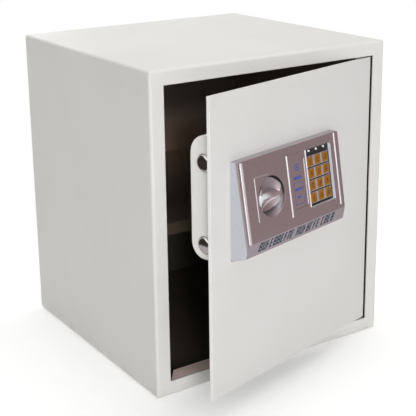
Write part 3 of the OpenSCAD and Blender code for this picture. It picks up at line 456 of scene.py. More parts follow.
dress(doorPaint(), "door_plate", "hinge_stile", "bolt_housing", "battery_cover")


# Painted shade on the shelf and its brackets, darkest on the front edge, with painted light paling
# it towards the back; scuffed where things slide
insideLook = {
    "paint": (0.120, 0.096, 0.078),
    "rear": (0.68, 0.52, 0.42),
    "scuff": (0.15, 0.12, 0.10),
    "front": (0.073, 0.050, 0.032),
    "litTowardsBack": (mm(-60), mm(130)),  # along Y: painted light towards the back
    "frontEdge": (mm(0.5), mm(2)),
    "slide": (220, 16, 220),  # scuffs per metre along X, Y and Z
}


def insidePaint():
    look = insideLook
    finish = Finish("insidePaint")
    y = finish.split(finish.place)[1]
    scuff = finish.patches(1, 0.60, 0.82, 5, 0.6, finish.stretched(look["slide"]))
    # painted shade, paled towards the back by painted light
    colour = finish.mix(y.rise(*look["litTowardsBack"]), look["paint"], look["rear"])
    colour = finish.mix(scuff * 0.5, colour, look["scuff"])
    # painted shade on the front edge
    front = (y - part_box("shelf")[0].y).fall(*look["frontEdge"])
    colour = finish.mix(front, colour, look["front"])
    return finish.done({"Base Color": colour, "Roughness": 0.5 + scuff * 0.12,
                        "Normal": coatSkin(finish, mm(0.4), strength=0.25)})


dress(insidePaint(), "shelf", "shelf_brackets")


# Needle felt: short fibres pressed in every direction
feltLook = {"dark": (0.012, 0.0105, 0.0075), "light": (0.032, 0.027, 0.020),
            "lint": (0.12, 0.11, 0.10), "sheen": (1.0, 0.80, 0.58),
            "fibres": (1500, 420, 900), "crossed": (380, 1400, 900), "pile": mm(0.4)}


def matFelt():
    look = feltLook
    finish = Finish("matFelt")
    fibres = finish.noise(1, 5, 0.7, finish.stretched(look["fibres"]))
    crossed = finish.noise(1, 5, 0.7, finish.stretched(look["crossed"]))
    pile = fibres * 0.5 + crossed * 0.5
    colour = finish.mix(pile.rise(0.35, 0.65), look["dark"], look["light"])
    lint = finish.patches(900, 0.72, 0.80, 2)
    colour = finish.mix(lint * 0.6, colour, look["lint"])
    return finish.done({"Base Color": colour, "Roughness": 0.95, "Sheen Weight": 0.25,
                        "Sheen Roughness": 0.5, "Sheen Tint": look["sheen"],
                        "Normal": finish.bump(pile, 0.6, look["pile"])})


dress(matFelt(), "floor_mat")


# Bright zinc with a faint yellow passivation, rolling marks and a few dull spots
zincLook = {"bright": (0.60, 0.60, 0.57), "yellow": (0.58, 0.53, 0.36), "dull": (0.36, 0.36, 0.35),
            "rolled": (120, 120, 2600)}


def zincPlate():
    look = zincLook
    finish = Finish("zincPlate")
    tint = finish.patches(45, 0.38, 0.68)
    colour = finish.mix(tint * 0.55, look["bright"], look["yellow"])
    spots = finish.patches(300, 0.58, 0.74, 4, 0.65)
    colour = finish.mix(spots * 0.5, colour, look["dull"])
    rolled = finish.noise(1, 4, 0.6, finish.stretched(look["rolled"]))
    marks = finish.bump(rolled * 0.6 + spots * 0.4, 0.12, mm(0.05), mm(0.25))
    return finish.done({"Base Color": colour, "Metallic": 1.0, "Normal": marks,
                        "Roughness": 0.30 + rolled * 0.14 + spots * 0.18})


dress(zincPlate(), "hinge_bushes", "hinge_washer", "housing_nuts", "bolt_guide", "panel_screws",
      "key_lock_nut", "solenoid_frame", "drive_cam", "cam_clip", "bolt_carriage", "carriage_rivets",
      "lock_cam", "release_link")


# Polished plating with fine turning lines round the shafts
steelLook = {"steel": (0.66, 0.66, 0.67), "haze": (0.46, 0.46, 0.48), "lines": (5200, 300, 300)}


def brightSteel():
    look = steelLook
    finish = Finish("brightSteel")
    haze = finish.patches(110, 0.50, 0.78, 4, 0.6)
    colour = finish.mix(haze * 0.5, look["steel"], look["haze"])
    lines = finish.noise(1, 2, 0.5, finish.stretched(look["lines"], finish.closedPlace()))
    return finish.done({"Base Color": colour, "Metallic": 1.0,
                        "Roughness": 0.07 + haze * 0.10 + lines * 0.05,
                        "Normal": finish.bump(lines, 0.05, mm(0.02), mm(0.35))})


steel = brightSteel()
dress(steel, "housing_studs", "hinge_pins", "guide_studs", "key_lock_barrel", "plunger_spring",
      "battery_contacts", "knob_shaft", "solenoid_plunger")


def facing(finish):
    # which way the surface faces on the closed door, as parts along X, Y and Z
    normal = finish.node("TexCoord", output="Normal")
    return finish.split(finish.turned(normal, (0, 0, 0), -doorAngle, "Z"))


# Dark chrome: each bolt's end carries a painted reflection, dark above and paler below, and a small
# painted gleam, inside a bright ring
boltLook = {"ring": (0.50, 0.48, 0.47), "dark": (0.030, 0.022, 0.018), "low": (0.36, 0.33, 0.34),
            "paintedGleam": (0.85, 0.85, 0.86), "ringInside": (0.80, 0.90), "gleamEdge": (0.60, 0.72),
            "facing": (0.7, 0.9)}


def boltSteel():
    look = boltLook
    finish = Finish("boltSteel")
    x, y, z = finish.split(finish.closedPlace())
    low, high = closedSpan("locking_bolts")
    radius = (high.y - low.y) / 2
    upper = z.over((low.z + high.z) / 2)
    # in radii from the axis of the bolt that the surface belongs to
    level = (z - low.z - radius) / radius * (1 - upper) + (z - high.z + radius) / radius * upper
    across = (y - low.y - radius) / radius
    toAxis = (across * across + level * level).root()
    # painted reflection: dark above, paler below
    paleReflection = (0.1 - level - upper * 0.75).rise(0, 0.35)
    face = finish.mix(paleReflection, look["dark"], look["low"])
    # painted highlight: a small gleam at the upper right
    paintedGleam = (level * 0.8 - across * 0.6).rise(*look["gleamEdge"])
    face = finish.mix(paintedGleam, face, look["paintedGleam"])
    ends = abs(facing(finish)[0]).rise(*look["facing"]) * toAxis.fall(*look["ringInside"])
    haze = finish.patches(260, 0.40, 0.70)
    return finish.done({"Base Color": finish.mix(ends, look["ring"], face), "Metallic": 1.0,
                        "Roughness": 0.14 + haze * 0.10,
                        "Normal": finish.bump(haze, 0.05, mm(0.02), mm(0.35))})


dress(boltSteel(), "locking_bolts")


# Silver paint on plastic: metal flakes under a satin lacquer, with painted light on its sides,
# beads and window walls, painted shade under it, in the knob's well and in its upper scoop, and
# painted highlights on the knob's grip
silverLook = {
    "paint": (0.420, 0.340, 0.355),
    "flake": (0.66, 0.62, 0.65),
    "worn": (0.29, 0.235, 0.245),
    # painted light on the sides, beads and window walls; painted shade under, in the well and in
    # the scoop; a painted highlight on the grip
    "side": (0.595, 0.610, 0.665),
    "raised": (0.86, 0.86, 0.90),
    "under": (0.315, 0.265, 0.290),
    "rim": (0.92, 0.93, 0.98),
    "well": (0.085, 0.072, 0.076),
    "scoop": (0.24, 0.20, 0.22),
    "grip": (0.80, 0.82, 0.84),
    "flakes": 2600,
    "metallic": 0.90,
}

# Where that paint and its painted light and shade change on the panel, from the lower left corner
# of its face.
# Two limits are a rise or a fall, four are a rise and a fall, and the facing ones are parts of the
# surface normal.
panelMarks = {
    "behindFace": (mm(2), mm(3.4)),
    "proud": (mm(0.1), mm(0.6)),
    "onFace": mm(0.3),
    "wellTop": (mm(12), mm(60), mm(71.8)),  # left, right and bottom of the bead with a weaker painted highlight
    "besideBead": (mm(5.2), mm(5.8), mm(8), mm(9.6)),
    "besideTop": mm(94),
    "aroundWindow": mm(1),
    "sunk": mm(0.2),
    "facingSide": (0.45, 0.80),
    "facingUp": (0.5, 0.9),
    "facingOut": (0.3, 0.6),
    "facingDown": (0.05, 0.13),
    "underside": -0.5,
}

# The same for the knob and its well, from the knob's axis: where its painted shade and painted
# highlights lie
knobMarks = {
    "wellWall": (mm(20.5), mm(24.4)),
    "wellDepth": mm(0.4),
    "upperRight": (0.66, 0.75),
    "wellShade": (0.30, 0.75),
    "gripEnd": (mm(-13), mm(4)),
    "gripHeight": (mm(-10.5), mm(-8.5), mm(3), mm(4.4)),
    "streak": (mm(-13.6), mm(-12.8), mm(-11.4), mm(-9.8)),
    "streakSlope": 0.48,
    "streakTop": mm(-6),
    "upperScoop": (mm(2.5), mm(5)),
}


def knobPlace(finish):
    # across and up from the knob's axis, and the distance to it
    low, high = closedSpan("knob")
    x, y, z = finish.split(finish.closedPlace())
    u = x - (low.x + high.x) / 2
    w = z - (low.z + high.z) / 2
    return u, w, (u * u + w * w).root()


def facePlace(finish):
    # the place on the panel's sloping face, from its lower left corner
    place = finish.turned(finish.closedPlace(), faceCorner, faceTilt, "X")
    return finish.vectorMath("SUBTRACT", place, faceCorner)


def wellShade(finish, depth):
    # on the wall of the knob's well: how much of it is the shaded upper right part
    marks = knobMarks
    u, w, toAxis = knobPlace(finish)
    across, up = marks["upperRight"]
    wall = toAxis.between(*marks["wellWall"]) * depth.over(marks["wellDepth"])
    return wall * ((u * across + w * up) / toAxis).rise(*marks["wellShade"])


def gripShine(finish):
    # on the knob: painted highlights on the left of the grip and in a streak along the lower scoop
    marks = knobMarks
    u, w, toAxis = knobPlace(finish)
    grip = u.fall(*marks["gripEnd"]) * w.band(*marks["gripHeight"])
    slope = w - u * marks["streakSlope"]
    streak = slope.band(*marks["streak"]) * w.under(marks["streakTop"])
    return grip.most(streak * 0.6)


def windowRim(x, y, z, outward):
    # the walls of the keypad's window, which get painted light
    marks = panelMarks
    left, right, bottom, top = panelShape["window"]
    margin = marks["aroundWindow"]
    within = x.between(left - margin, right + margin) * z.between(bottom - margin, top + margin)
    return within * y.over(marks["sunk"]) * abs(outward).fall(*marks["facingOut"])


def silverPaint(name, roughness, worn, side, raised):
    # side: how much the sides are paled with painted light; raised: 1 on the panel with its beads,
    # 0 on the knob
    look = silverLook
    marks = panelMarks
    finish = Finish(name)
    place = finish.closedPlace()
    sparkle = finish.split(finish.cells(look["flakes"], place, "Color"))[0].rise(0.80, 1.0)
    colour = finish.mix(sparkle * 0.25, look["paint"], look["flake"])
    rub = finish.patches(90, 0.55, 0.80, 4, 0.6, place)
    colour = finish.mix(rub * worn, colour, look["worn"])
    across, outward, up = facing(finish)
    x, y, z = finish.split(facePlace(finish))
    # painted light on the sides and on faces that look up
    sideways = abs(across).rise(*marks["facingSide"]) * y.rise(*marks["behindFace"])
    sideways = (sideways + up.rise(*marks["facingUp"]) * 0.35).least(1) * side
    colour = finish.mix(sideways, colour, look["side"])
    # painted highlight on the beads, weaker on the bead over the well, and in a band beside the
    # left bead
    left, right, bottom = marks["wellTop"]
    dull = x.between(left, right) * z.over(bottom)
    proud = (y * -1).rise(*marks["proud"]) * (1 - dull * 0.75)
    beside = x.band(*marks["besideBead"]) * y.under(marks["onFace"]) * (1 - dull)
    paintedHighlight = proud.most(beside * z.under(marks["besideTop"]) * 0.7) * raised
    # painted light on the window's walls
    rim = windowRim(x, y, z, outward) * raised
    # painted shade on faces that look down
    under = (up * -1).rise(*marks["facingDown"]) * (1 - up.under(marks["underside"])) * raised
    colour = finish.mix(paintedHighlight, colour, look["raised"])
    colour = finish.mix(rim, colour, look["rim"])
    colour = finish.mix(under, colour, look["under"])
    if raised:
        # painted shade in the upper right of the knob's well
        shade = wellShade(finish, y)
        colour = finish.mix(shade, colour, look["well"])
    else:
        # painted highlights on the grip and the lower scoop
        shine = gripShine(finish)
        # painted shade in the knob's upper scoop
        shade = knobPlace(finish)[1].rise(*knobMarks["upperScoop"]) * 0.8
        colour = finish.mix(shine, finish.mix(shade, colour, look["scoop"]), look["grip"])
        shade = shade.most(shine)
    uneven = rub * 0.08 + finish.noise(500, 2, place=place) * 0.05
    ripple = finish.noise(900, 2, place=place)
    metallic = look["metallic"] - sideways.most(paintedHighlight).most(shade) * 0.6 - rim * 0.8
    return finish.done({"Base Color": colour, "Metallic": metallic.most(0),
                        "Roughness": roughness + uneven + shade * 0.15,
                        "Normal": finish.bump(ripple, 0.10, mm(0.05), mm(0.5))})


panelSilver = silverPaint("panelSilver", roughness=0.26, worn=0.25, side=1, raised=1)
dress(panelSilver, "control_panel", "keyhole_cover")
dress(silverPaint("knobSilver", roughness=0.34, worn=0.35, side=0.3, raised=0), "knob")


# Black moulded plastic, dusty in spots
blackLook = {"black": (0.012, 0.012, 0.013), "grey": (0.045, 0.045, 0.048), "grain": 1800}


def blackPlastic():
    look = blackLook
    finish = Finish("blackPlastic")
    dust = finish.patches(140, 0.55, 0.80, 4, 0.6)
    colour = finish.mix(dust * 0.5, look["black"], look["grey"])
    normal = finish.bump(finish.cells(look["grain"]), 0.25, mm(0.06), mm(0.3))
    return finish.done({"Base Color": colour, "Roughness": 0.40 + dust * 0.2, "Normal": normal})


dress(blackPlastic(), "battery_box", "reset_switch")


# The keypad's plate: black, with smudges
keypadLook = {"black": (0.010, 0.010, 0.012), "smudge": (0.09, 0.09, 0.10)}


def keypadPlate():
    look = keypadLook
    finish = Finish("keypadPlate")
    smudge = finish.patches(160, 0.50, 0.80, 4, 0.6)
    colour = finish.mix(smudge * 0.2, look["black"], look["smudge"])
    normal = finish.bump(finish.noise(1400, 2), 0.10, mm(0.04), mm(0.2))
    return finish.done({"Base Color": colour, "Roughness": 0.32 + smudge * 0.2, "Normal": normal})


dress(keypadPlate(), "keypad_plate")


# Silver frames round the keys, worn in spots
trimLook = {"silver": (0.60, 0.56, 0.63), "worn": (0.40, 0.37, 0.41)}


def paleTrim():
    look = trimLook
    finish = Finish("paleTrim")
    rub = finish.patches(500, 0.50, 0.75, 4, 0.6)
    colour = finish.mix(rub * 0.4, look["silver"], look["worn"])
    return finish.done({"Base Color": colour, "Roughness": 0.3 + rub * 0.15, "Metallic": 0.7,
                        "Normal": finish.bump(finish.noise(1500, 2), 0.1, mm(0.03), mm(0.2))})


dress(paleTrim(), "key_frames")


def facePoints(name):
    # a piece's points on the panel's face: X across, Z up the slope, -Y outwards
    toFace = onFace.inverted()
    return [toFace @ vertex.co for vertex in nodes[name].data.vertices]


def keyCentre(name):
    # middle of a key's top
    points = facePoints(name)
    top = min(point.y for point in points)
    low, high = span([point for point in points if point.y < top + mm(0.05)])
    return (low + high) / 2


keyNames = ["key_1", "key_2", "key_3", "key_4", "key_5", "key_6",
            "key_7", "key_8", "key_9", "key_a", "key_0", "key_b"]
keyPlaces = {name: keyCentre(name) for name in keyNames}

# Gold keys with a paler rim, darker in spots where fingers have worn them
goldLook = {"gold": (0.40, 0.165, 0.012), "deep": (0.20, 0.070, 0.006), "edge": (0.50, 0.27, 0.06),
            "half": (mm(5.4), mm(5.7)), "rim": (mm(0.2), mm(0.9))}


def goldKey(name):
    look = goldLook
    finish = Finish("gold_" + name)
    x, y, z = finish.split(facePlace(finish))
    centre = keyPlaces[name]
    halfWide, halfHigh = look["half"]
    toEdge = (halfWide - abs(x - centre.x)).least(halfHigh - abs(z - centre.z))
    wear = finish.patches(420, 0.35, 0.70, 4, 0.6)
    colour = finish.mix(wear * 0.6, look["gold"], look["deep"])
    colour = finish.mix(toEdge.fall(*look["rim"]) * 0.7, colour, look["edge"])
    return finish.done({"Base Color": colour, "Metallic": 0.30, "Roughness": 0.38 + wear * 0.14,
                        "Specular IOR Level": 0.3,
                        "Normal": finish.bump(finish.noise(1600, 2), 0.12, mm(0.04), mm(0.45))})


for keyName in keyNames:
    dress(goldKey(keyName), keyName)


# Green board: tracks that run across in some places and up in others, with round pads
boardLook = {"mask": (0.020, 0.105, 0.045), "track": (0.035, 0.165, 0.070),
             "pad": (0.55, 0.50, 0.38), "perMetre": (420, 300), "share": (0.35, 0.30),
             "pads": 330, "padSize": 0.16}


def circuitBoard():
    look = boardLook
    finish = Finish("circuitBoard")
    place = finish.closedPlace()
    x, y, z = finish.split(place)
    across, up = [(part * count).fraction().under(share)
                  for part, count, share in zip((x, z), look["perMetre"], look["share"])]
    turned = finish.noise(70, 1, 0.3, place).over(0.5)
    tracks = turned * across + (1 - turned) * up
    colour = finish.mix(tracks, look["mask"], look["track"])
    pads = finish.cells(look["pads"], place).under(look["padSize"])
    colour = finish.mix(pads, colour, look["pad"])
    normal = finish.bump(tracks * 0.5 + pads * 0.5, 0.3, mm(0.05))
    return finish.done({"Base Color": colour, "Roughness": 0.32, "Metallic": pads * 0.8,
                        "Normal": normal})


dress(circuitBoard(), "keypad_board", "main_board")


# Milky lenses of the three lamps
lensLook = {"clear": (0.88, 0.88, 0.86), "cloudy": (0.70, 0.70, 0.70)}


def lampLens():
    look = lensLook
    finish = Finish("lampLens")
    cloud = finish.patches(700, 0.40, 0.70, 2)
    colour = finish.mix(cloud * 0.3, look["clear"], look["cloudy"])
    return finish.done({"Base Color": colour, "Roughness": 0.12 + cloud * 0.1, "Coat Weight": 0.5,
                        "Normal": finish.bump(cloud, 0.1, mm(0.05))})


dress(lampLens(), "indicator_lights")


# Turned brass, tarnished in spots
brassLook = {"brass": (0.60, 0.44, 0.17), "tarnish": (0.26, 0.17, 0.07), "lines": (900, 4200, 900)}


def brassPlug():
    look = brassLook
    finish = Finish("brassPlug")
    tarnish = finish.patches(240, 0.46, 0.72, 4, 0.6)
    colour = finish.mix(tarnish * 0.6, look["brass"], look["tarnish"])
    lines = finish.noise(1, 2, 0.5, finish.stretched(look["lines"]))
    return finish.done({"Base Color": colour, "Metallic": 1.0, "Roughness": 0.2 + tarnish * 0.2,
                        "Normal": finish.bump(lines, 0.12, mm(0.03), mm(0.3))})


dress(brassPlug(), "key_lock_plug")


# Enamelled wire wound round the bobbin: fine ridges up its height
wireLook = {"dark": (0.34, 0.105, 0.030), "light": (0.48, 0.19, 0.06), "turns": 6200}


def coilWire():
    look = wireLook
    finish = Finish("coilWire")
    place = finish.closedPlace()
    winding = (finish.split(place)[2] * look["turns"]).sine()
    shine = finish.noise(300, 3, place=place)
    return finish.done({"Base Color": finish.mix(shine, look["dark"], look["light"]),
                        "Metallic": 0.6, "Roughness": 0.28 + shine * 0.1,
                        "Normal": finish.bump(winding, 0.5, mm(0.12))})


dress(coilWire(), "solenoid_coil")


# Battery jackets: a copper-coloured band at the tip end, the rest dark, with scuffs
cellLook = {"dark": (0.020, 0.020, 0.022), "band": (0.50, 0.26, 0.10), "scuff": (0.16, 0.15, 0.15),
            "rows": 4, "bandLength": mm(14)}


def cellJacket():
    look = cellLook
    finish = Finish("cellJacket")
    place = finish.closedPlace()
    x, y, z = finish.split(place)
    low, high = closedSpan("batteries")
    row = ((z - low.z) * (look["rows"] / (high.z - low.z))).whole()
    turned = (row * 0.5).fraction().over(0.25)  # every second cell
    rightTip = x.over(high.x - look["bandLength"])
    leftTip = x.under(low.x + look["bandLength"])
    band = rightTip * (1 - turned) + leftTip * turned
    colour = finish.mix(band, look["dark"], look["band"])
    scuff = finish.patches(260, 0.58, 0.78, 4, 0.6, place)
    colour = finish.mix(scuff * 0.4, colour, look["scuff"])
    return finish.done({"Base Color": colour, "Metallic": 0.3, "Roughness": 0.28 + scuff * 0.2,
                        "Normal": finish.bump(scuff, 0.1, mm(0.03)), "Coat Weight": 0.4})


dress(cellJacket(), "batteries")


# Plain red plastic with a faint grain and paler handled spots, on the button and the leads
plasticLook = {
    "resetRed": {"colour": (0.42, 0.016, 0.010), "paintedHighlight": (0.60, 0.12, 0.09), "roughness": 0.30},
    "leadRed": {"colour": (0.34, 0.020, 0.014), "paintedHighlight": (0.46, 0.08, 0.06), "roughness": 0.42},
}


def softPlastic(name):
    look = plasticLook[name]
    finish = Finish(name)
    rub = finish.patches(220, 0.50, 0.78, 4, 0.6)
    grain = finish.noise(1900, 2)
    return finish.done({"Base Color": finish.mix(rub * 0.4, look["colour"], look["paintedHighlight"]),
                        "Roughness": look["roughness"] + rub * 0.15,
                        "Normal": finish.bump(grain, 0.15, mm(0.05), mm(0.3))})


dress(softPlastic("resetRed"), "reset_button")
dress(softPlastic("leadRed"), "wire_loom")
print("finishes: every piece of the safe has its material")


def printInk(name, look):
    # matt screen-printed ink, a little broken up
    finish = Finish(name)
    thin = finish.patches(1500, 0.45, 0.75, 3, 0.6)
    return finish.done({"Base Color": finish.mix(thin * 0.35, look["ink"], look["worn"]),
                        "Roughness": 0.55 + thin * 0.1, "Specular IOR Level": 0.15,
                        "Normal": finish.bump(thin, 0.1, mm(0.02))})


def addPiece(name, mesh, material, body, place=None):
    piece = bpy.data.objects.new(name, mesh)
    if place:
        mesh.transform(place)
    mesh.materials.append(material)
    bpy.context.scene.collection.objects.link(piece)
    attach(piece, body)
    return piece


def pressedSpring():
    # the plunger's spring, as a copy of its solid carried by the door
    coil = nodes["plunger_spring"].data.copy()
    coil.materials.clear()
    spring = addPiece("spring_coil", coil, steel, "door")
    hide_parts("plunger_spring")
    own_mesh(spring)


pressedSpring()

# Digits on the keys, and plain signs on the two keys beside the nought
digitLook = {"size": mm(8.2), "thick": mm(0.03), "lift": mm(0.012), "ink": (0.055, 0.014, 0.006),
             "worn": (0.20, 0.08, 0.02)}
keySigns = {**{"key_" + digit: digit for digit in "1234567890"}, "key_a": "*", "key_b": "#"}


def signMesh(sign, size, thick):
    # outline of one sign of Blender's own font, centred, as a thin solid
    curve = bpy.data.curves.new("sign", "FONT")
    curve.body = sign
    curve.size = size
    curve.extrude = thick / 2
    curve.resolution_u = 4
    holder = bpy.data.objects.new("sign", curve)
    mesh = bpy.data.meshes.new_from_object(holder)
    bpy.data.objects.remove(holder)
    low, high = span([vertex.co for vertex in mesh.vertices])
    middle = (low + high) / 2
    mesh.transform(Matrix.Translation((-middle.x, -middle.y, 0)))
    return mesh


def digits():
    look = digitLook
    ink = printInk("digitInk", look)
    outwards = Vector((0, -look["thick"] / 2 - look["lift"], 0))
    upright = Matrix.Rotation(math.radians(90), 4, "X")
    for name, sign in keySigns.items():
        place = onFace @ Matrix.Translation(keyPlaces[name] + outwards) @ upright
        mesh = signMesh(sign, look["size"], look["thick"])
        addPiece("sign_" + name, mesh, ink, name, place)


digits()


def printMesh(name, outlines, thick):
    # thin printed shapes: each outline is a list of points in X and Z
    mesh = bpy.data.meshes.new(name)
    made = bmesh.new()
    for outline in outlines:
        front = [made.verts.new((x, -thick, z)) for x, z in outline]
        back = [made.verts.new((x, 0, z)) for x, z in outline]
        made.faces.new(front)
        made.faces.new(back[::-1])
        for i in range(len(outline)):
            j = (i + 1) % len(outline)
            made.faces.new([front[j], front[i], back[i], back[j]])
    bmesh.ops.recalc_face_normals(made, faces=made.faces)
    made.to_mesh(mesh)
    made.free()
    return mesh


def bar(x, z, width, height, slant=0):
    return [(x, z), (x + width, z), (x + width + slant, z + height), (x + slant, z + height)]


def barRow(left, right, z, height, narrow, wide, gap):
    # a row of plain blocks of uneven width
    row = []
    x = left
    while x < right - narrow:
        width = min(random.uniform(narrow, wide), right - x)
        row.append(bar(x, z, width, height))
        x += width + gap
    return row


printLift = mm(0.005)  # so that a print doesn't lie in the very face that carries it

# Printed marks on the keyhole cover: a frame, a small dial sign and rows of plain blocks. They are
# placed by shares of the cover's height.
labelLook = {
    "ink": (0.035, 0.085, 0.42),
    "worn": (0.22, 0.24, 0.42),
    "thick": mm(0.03),
    "margin": mm(4.2),
    "line": mm(0.45),
    "frame": (0.07, 0.46),
    "dial": 0.74,
    "dialRing": (mm(4), mm(2.9)),
    "dialDot": mm(1.1),
    # for each row: inset, place up the cover, block height, narrowest and widest block, gap
    "rows": [(mm(1), 0.52, mm(4), mm(1.6), mm(3), mm(0.7)),
             (mm(1.5), 0.32, mm(3.2), mm(1.2), mm(2.2), mm(0.6)),
             (mm(4.5), 0.18, mm(2.8), mm(1.2), mm(2.4), mm(0.6))],
}


def ring(x, z, outer, inner, count=28):
    # a ring as short four-sided pieces
    angles = [2 * math.pi * i / count for i in range(count + 1)]

    def point(radius, angle):
        return x + radius * math.cos(angle), z + radius * math.sin(angle)

    return [[point(inner, a), point(outer, a), point(outer, b), point(inner, b)]
            for a, b in zip(angles, angles[1:])]


def coverMarks():
    look = labelLook
    low, high = span(facePoints("keyhole_cover"))
    left, right = low.x + look["margin"], high.x - look["margin"]
    height = high.z - low.z
    dial = ((left + right) / 2, low.z + height * look["dial"])
    shapes = ring(*dial, *look["dialRing"]) + ring(*dial, look["dialDot"], 0)
    for inset, share, *sizes in look["rows"]:
        shapes += barRow(left + inset, right - inset, low.z + height * share, *sizes)
    line = look["line"]
    bottom, top = look["frame"]
    for share in (top, bottom):
        shapes.append(bar(left, low.z + height * share, right - left, line))
    for x in (left, right - line):
        shapes.append(bar(x, low.z + height * bottom, line, height * (top - bottom)))
    ink = printInk("labelInk", look)
    lift = Matrix.Translation((0, low.y - printLift, 0))
    addPiece("cover_marks", printMesh("cover_marks", shapes, look["thick"]), ink, "keyhole_cover",
             onFace @ lift)


coverMarks()


# Rows of plain slanted strokes on the strip under the nose, in three groups
bandLook = {
    "ink": (0.008, 0.042, 0.060),
    "worn": (0.05, 0.10, 0.12),
    "thick": mm(0.03),
    "left": mm(21),
    "right": mm(166),
    "height": mm(10.6),
    "slope": 0.32,
    "stroke": mm(1.8),
    "share": 0.44,  # of the strip's free height, below the strokes
    "lift": mm(1),
    "groups": (10, 7, 4),  # signs in each
    "space": 0.5,  # between groups, in signs
    "wide": 0.82,  # of the distance from sign to sign
    "doubled": 0.4,  # share of the signs that have a second stroke
}


def strokeSign(x, z, width, height):
    # one upright stroke, with arms or a second stroke chosen at random
    look = bandLook
    stroke, slope = look["stroke"], look["slope"]
    shapes = [bar(x, z, stroke, height, height * slope)]
    if random.random() < look["doubled"]:
        shapes.append(bar(x + width - stroke, z, stroke, height, height * slope))
    levels = [0, (height - stroke) / 2, height - stroke]
    for level in random.sample(levels, random.choice([1, 2, 3])):
        start = x + stroke + slope * level
        shapes.append(bar(start, z + level, width - 2 * stroke, stroke, slope * stroke))
    return shapes


def chinBand():
    look = bandLook
    chinOut, chinUp = panelShape["chin"]
    length = math.hypot(noseOut - chinOut, noseUp - chinUp)
    tilt = math.atan2(noseOut - chinOut, noseUp - chinUp)
    start = (length - look["height"]) * look["share"] + look["lift"]
    cells = sum(look["groups"]) + look["space"] * (len(look["groups"]) - 1)
    pitch = (look["right"] - look["left"]) / cells
    shapes = []
    x = look["left"]
    for count in look["groups"]:
        for i in range(count):
            shapes += strokeSign(x, start, pitch * look["wide"], look["height"])
            x += pitch
        x += pitch * look["space"]
    onChin = onPanel @ Matrix.Translation((0, -chinOut, chinUp)) @ Matrix.Rotation(tilt, 4, "X")
    ink = printInk("bandInk", look)
    addPiece("chin_band", printMesh("chin_band", shapes, look["thick"]), ink, "door",
             onChin @ Matrix.Translation((0, -printLift, 0)))


chinBand()
print("marks: digits, cover marks and band are on")


# Pale floor that turns plain white away from the safe, and a world that shows white behind it.
# Glossy surfaces see a dim warm room to the right.
stageLook = {
    "floor": (0.88, 0.88, 0.87),
    "speckle": (0.84, 0.84, 0.83),
    "white": (1, 1, 1),
    "reach": 6.0,
    "drop": mm(0.6),  # below the safe
    "lift": 0.29,  # glow that pales the shadow near the safe
    "plainFrom": (0.24, 0.56),  # distance at which the floor turns plain white
    "world": 0.35,
    "room": (0.46, 0.39, 0.39),
    "towards": (0.90, -0.43, 0.0),  # where the room is
    "roomEdge": (0.10, 0.50),
    "roomFloor": (0.3, 1.0),
}


def lightPath(finish, kind):
    return finish.node("LightPath", output=f"Is {kind} Ray")


def seenDirectly(finish):
    seen = lightPath(finish, "Camera").most(lightPath(finish, "Glossy"))
    return seen.most(lightPath(finish, "Transmission"))


def floorFinish():
    look = stageLook
    finish = Finish("floorWhite")
    colour = finish.mix(finish.noise(30, 3) * 0.1, look["floor"], look["speckle"])
    diffuse = finish.node("BsdfDiffuse", {}, {"Color": colour})
    glow = finish.node("Emission", {}, {"Color": look["white"], "Strength": look["lift"]})
    lifted = finish.node("AddShader", {}, {0: diffuse, 1: glow})
    ahead = finish.dot(finish.place, look["towards"]).rise(*look["roomFloor"])
    ahead = ahead * lightPath(finish, "Glossy")
    plain = finish.node("Emission", {}, {"Color": finish.mix(ahead, look["white"], look["room"]),
                                         "Strength": 1})
    away = finish.vectorMath("LENGTH", finish.place, output="Value").rise(*look["plainFrom"])
    seen = finish.node("MixShader", {}, {0: away, 1: lifted, 2: plain})
    shader = finish.node("MixShader", {}, {0: seenDirectly(finish), 1: diffuse, 2: seen})
    return finish.shown(shader)


def floor():
    reach, level = stageLook["reach"], cadBox[0][2] - stageLook["drop"]
    corners = [(-reach, -reach, level), (reach, -reach, level), (reach, reach, level),
               (-reach, reach, level)]
    mesh = bpy.data.meshes.new("floor")
    mesh.from_pydata(corners, [], [(0, 1, 2, 3)])
    mesh.materials.append(floorFinish())
    piece = bpy.data.objects.new("floor", mesh)
    bpy.context.scene.collection.objects.link(piece)


class Surroundings(Finish):
    # the world's shader, made with the same methods
    def __init__(self, name):
        self.world = bpy.data.worlds.new(name)
        self.world.use_nodes = True
        self.begin(self.world.node_tree, "Generated")


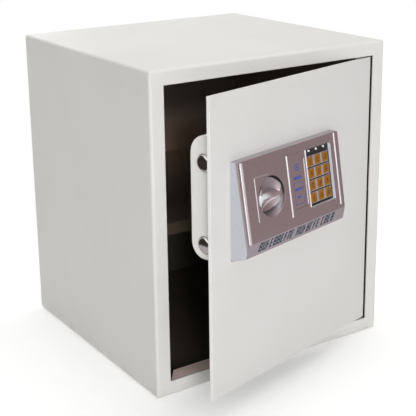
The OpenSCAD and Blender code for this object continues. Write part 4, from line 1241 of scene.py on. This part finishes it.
def world():
    look = stageLook
    finish = Surroundings("studio")
    room = finish.dot(finish.place, look["towards"]).rise(*look["roomEdge"])
    room = room * (1 - lightPath(finish, "Camera"))
    seen = seenDirectly(finish)
    colour = finish.mix(room * seen, look["white"], look["room"])
    strength = seen + (1 - seen) * look["world"]
    sky = finish.node("Background", {}, {"Color": colour, "Strength": strength})
    out = finish.tree.nodes.new("ShaderNodeOutputWorld")
    finish.tree.links.new(sky.output, out.inputs["Surface"])
    bpy.context.scene.world = finish.world


# Each lamp's place, size in metres and power in watts. All are aimed at the middle of the safe.
lamps = {
    "keyLamp": ((-0.95, -2.6, 0.8), 1.0, 35),
    "topLamp": ((0.1, 0.2, 2.4), 1.6, 25),
    "backLamp": ((0.4, 2.7, 0.4), 1.2, 14),
    "sideLamp": ((2.6, 0.6, 0.4), 1.2, 14),
}
lampTarget = Vector((0, 0, 0.2))


def addLamp(name, place, size, power):
    light = bpy.data.lights.new(name, "AREA")
    light.size = size
    light.energy = power
    holder = bpy.data.objects.new(name, light)
    holder.location = place
    holder.rotation_euler = (lampTarget - Vector(place)).to_track_quat("-Z", "Y").to_euler()
    bpy.context.scene.collection.objects.link(holder)


floor()
world()
for lampName, lampValues in lamps.items():
    addLamp(lampName, *lampValues)


# The photograph's view, square, from the front left and above. Angles are in degrees, lens and
# sensor in millimetres, and centreRow is the row of the picture that the camera points at.
cameraView = {"place": (-0.724, -1.110, 0.610), "yaw": 33.51, "pitch": 15.38, "roll": -0.75,
              "lens": 87.4, "sensor": 36, "clip": 0.05, "centreRow": 150, "pixels": 416}


def camera():
    look = cameraView
    data = bpy.data.cameras.new("camera")
    data.lens = look["lens"]
    data.sensor_width = look["sensor"]
    data.shift_y = (look["centreRow"] - look["pixels"] / 2) / look["pixels"]
    data.clip_start = look["clip"]
    holder = bpy.data.objects.new("camera", data)
    yaw, pitch, roll = (math.radians(look[name]) for name in ("yaw", "pitch", "roll"))
    turn = Matrix.Rotation(-yaw, 4, "Z") @ Matrix.Rotation(math.pi / 2 - pitch, 4, "X")
    holder.matrix_world = Matrix.Translation(look["place"]) @ turn @ Matrix.Rotation(roll, 4, "Z")
    bpy.context.scene.collection.objects.link(holder)
    bpy.context.scene.camera = holder


camera()
bpy.context.scene.view_settings.view_transform = "Standard"
print("stage: floor, world, lamps and camera are set")

bpy.context.view_layer.update()
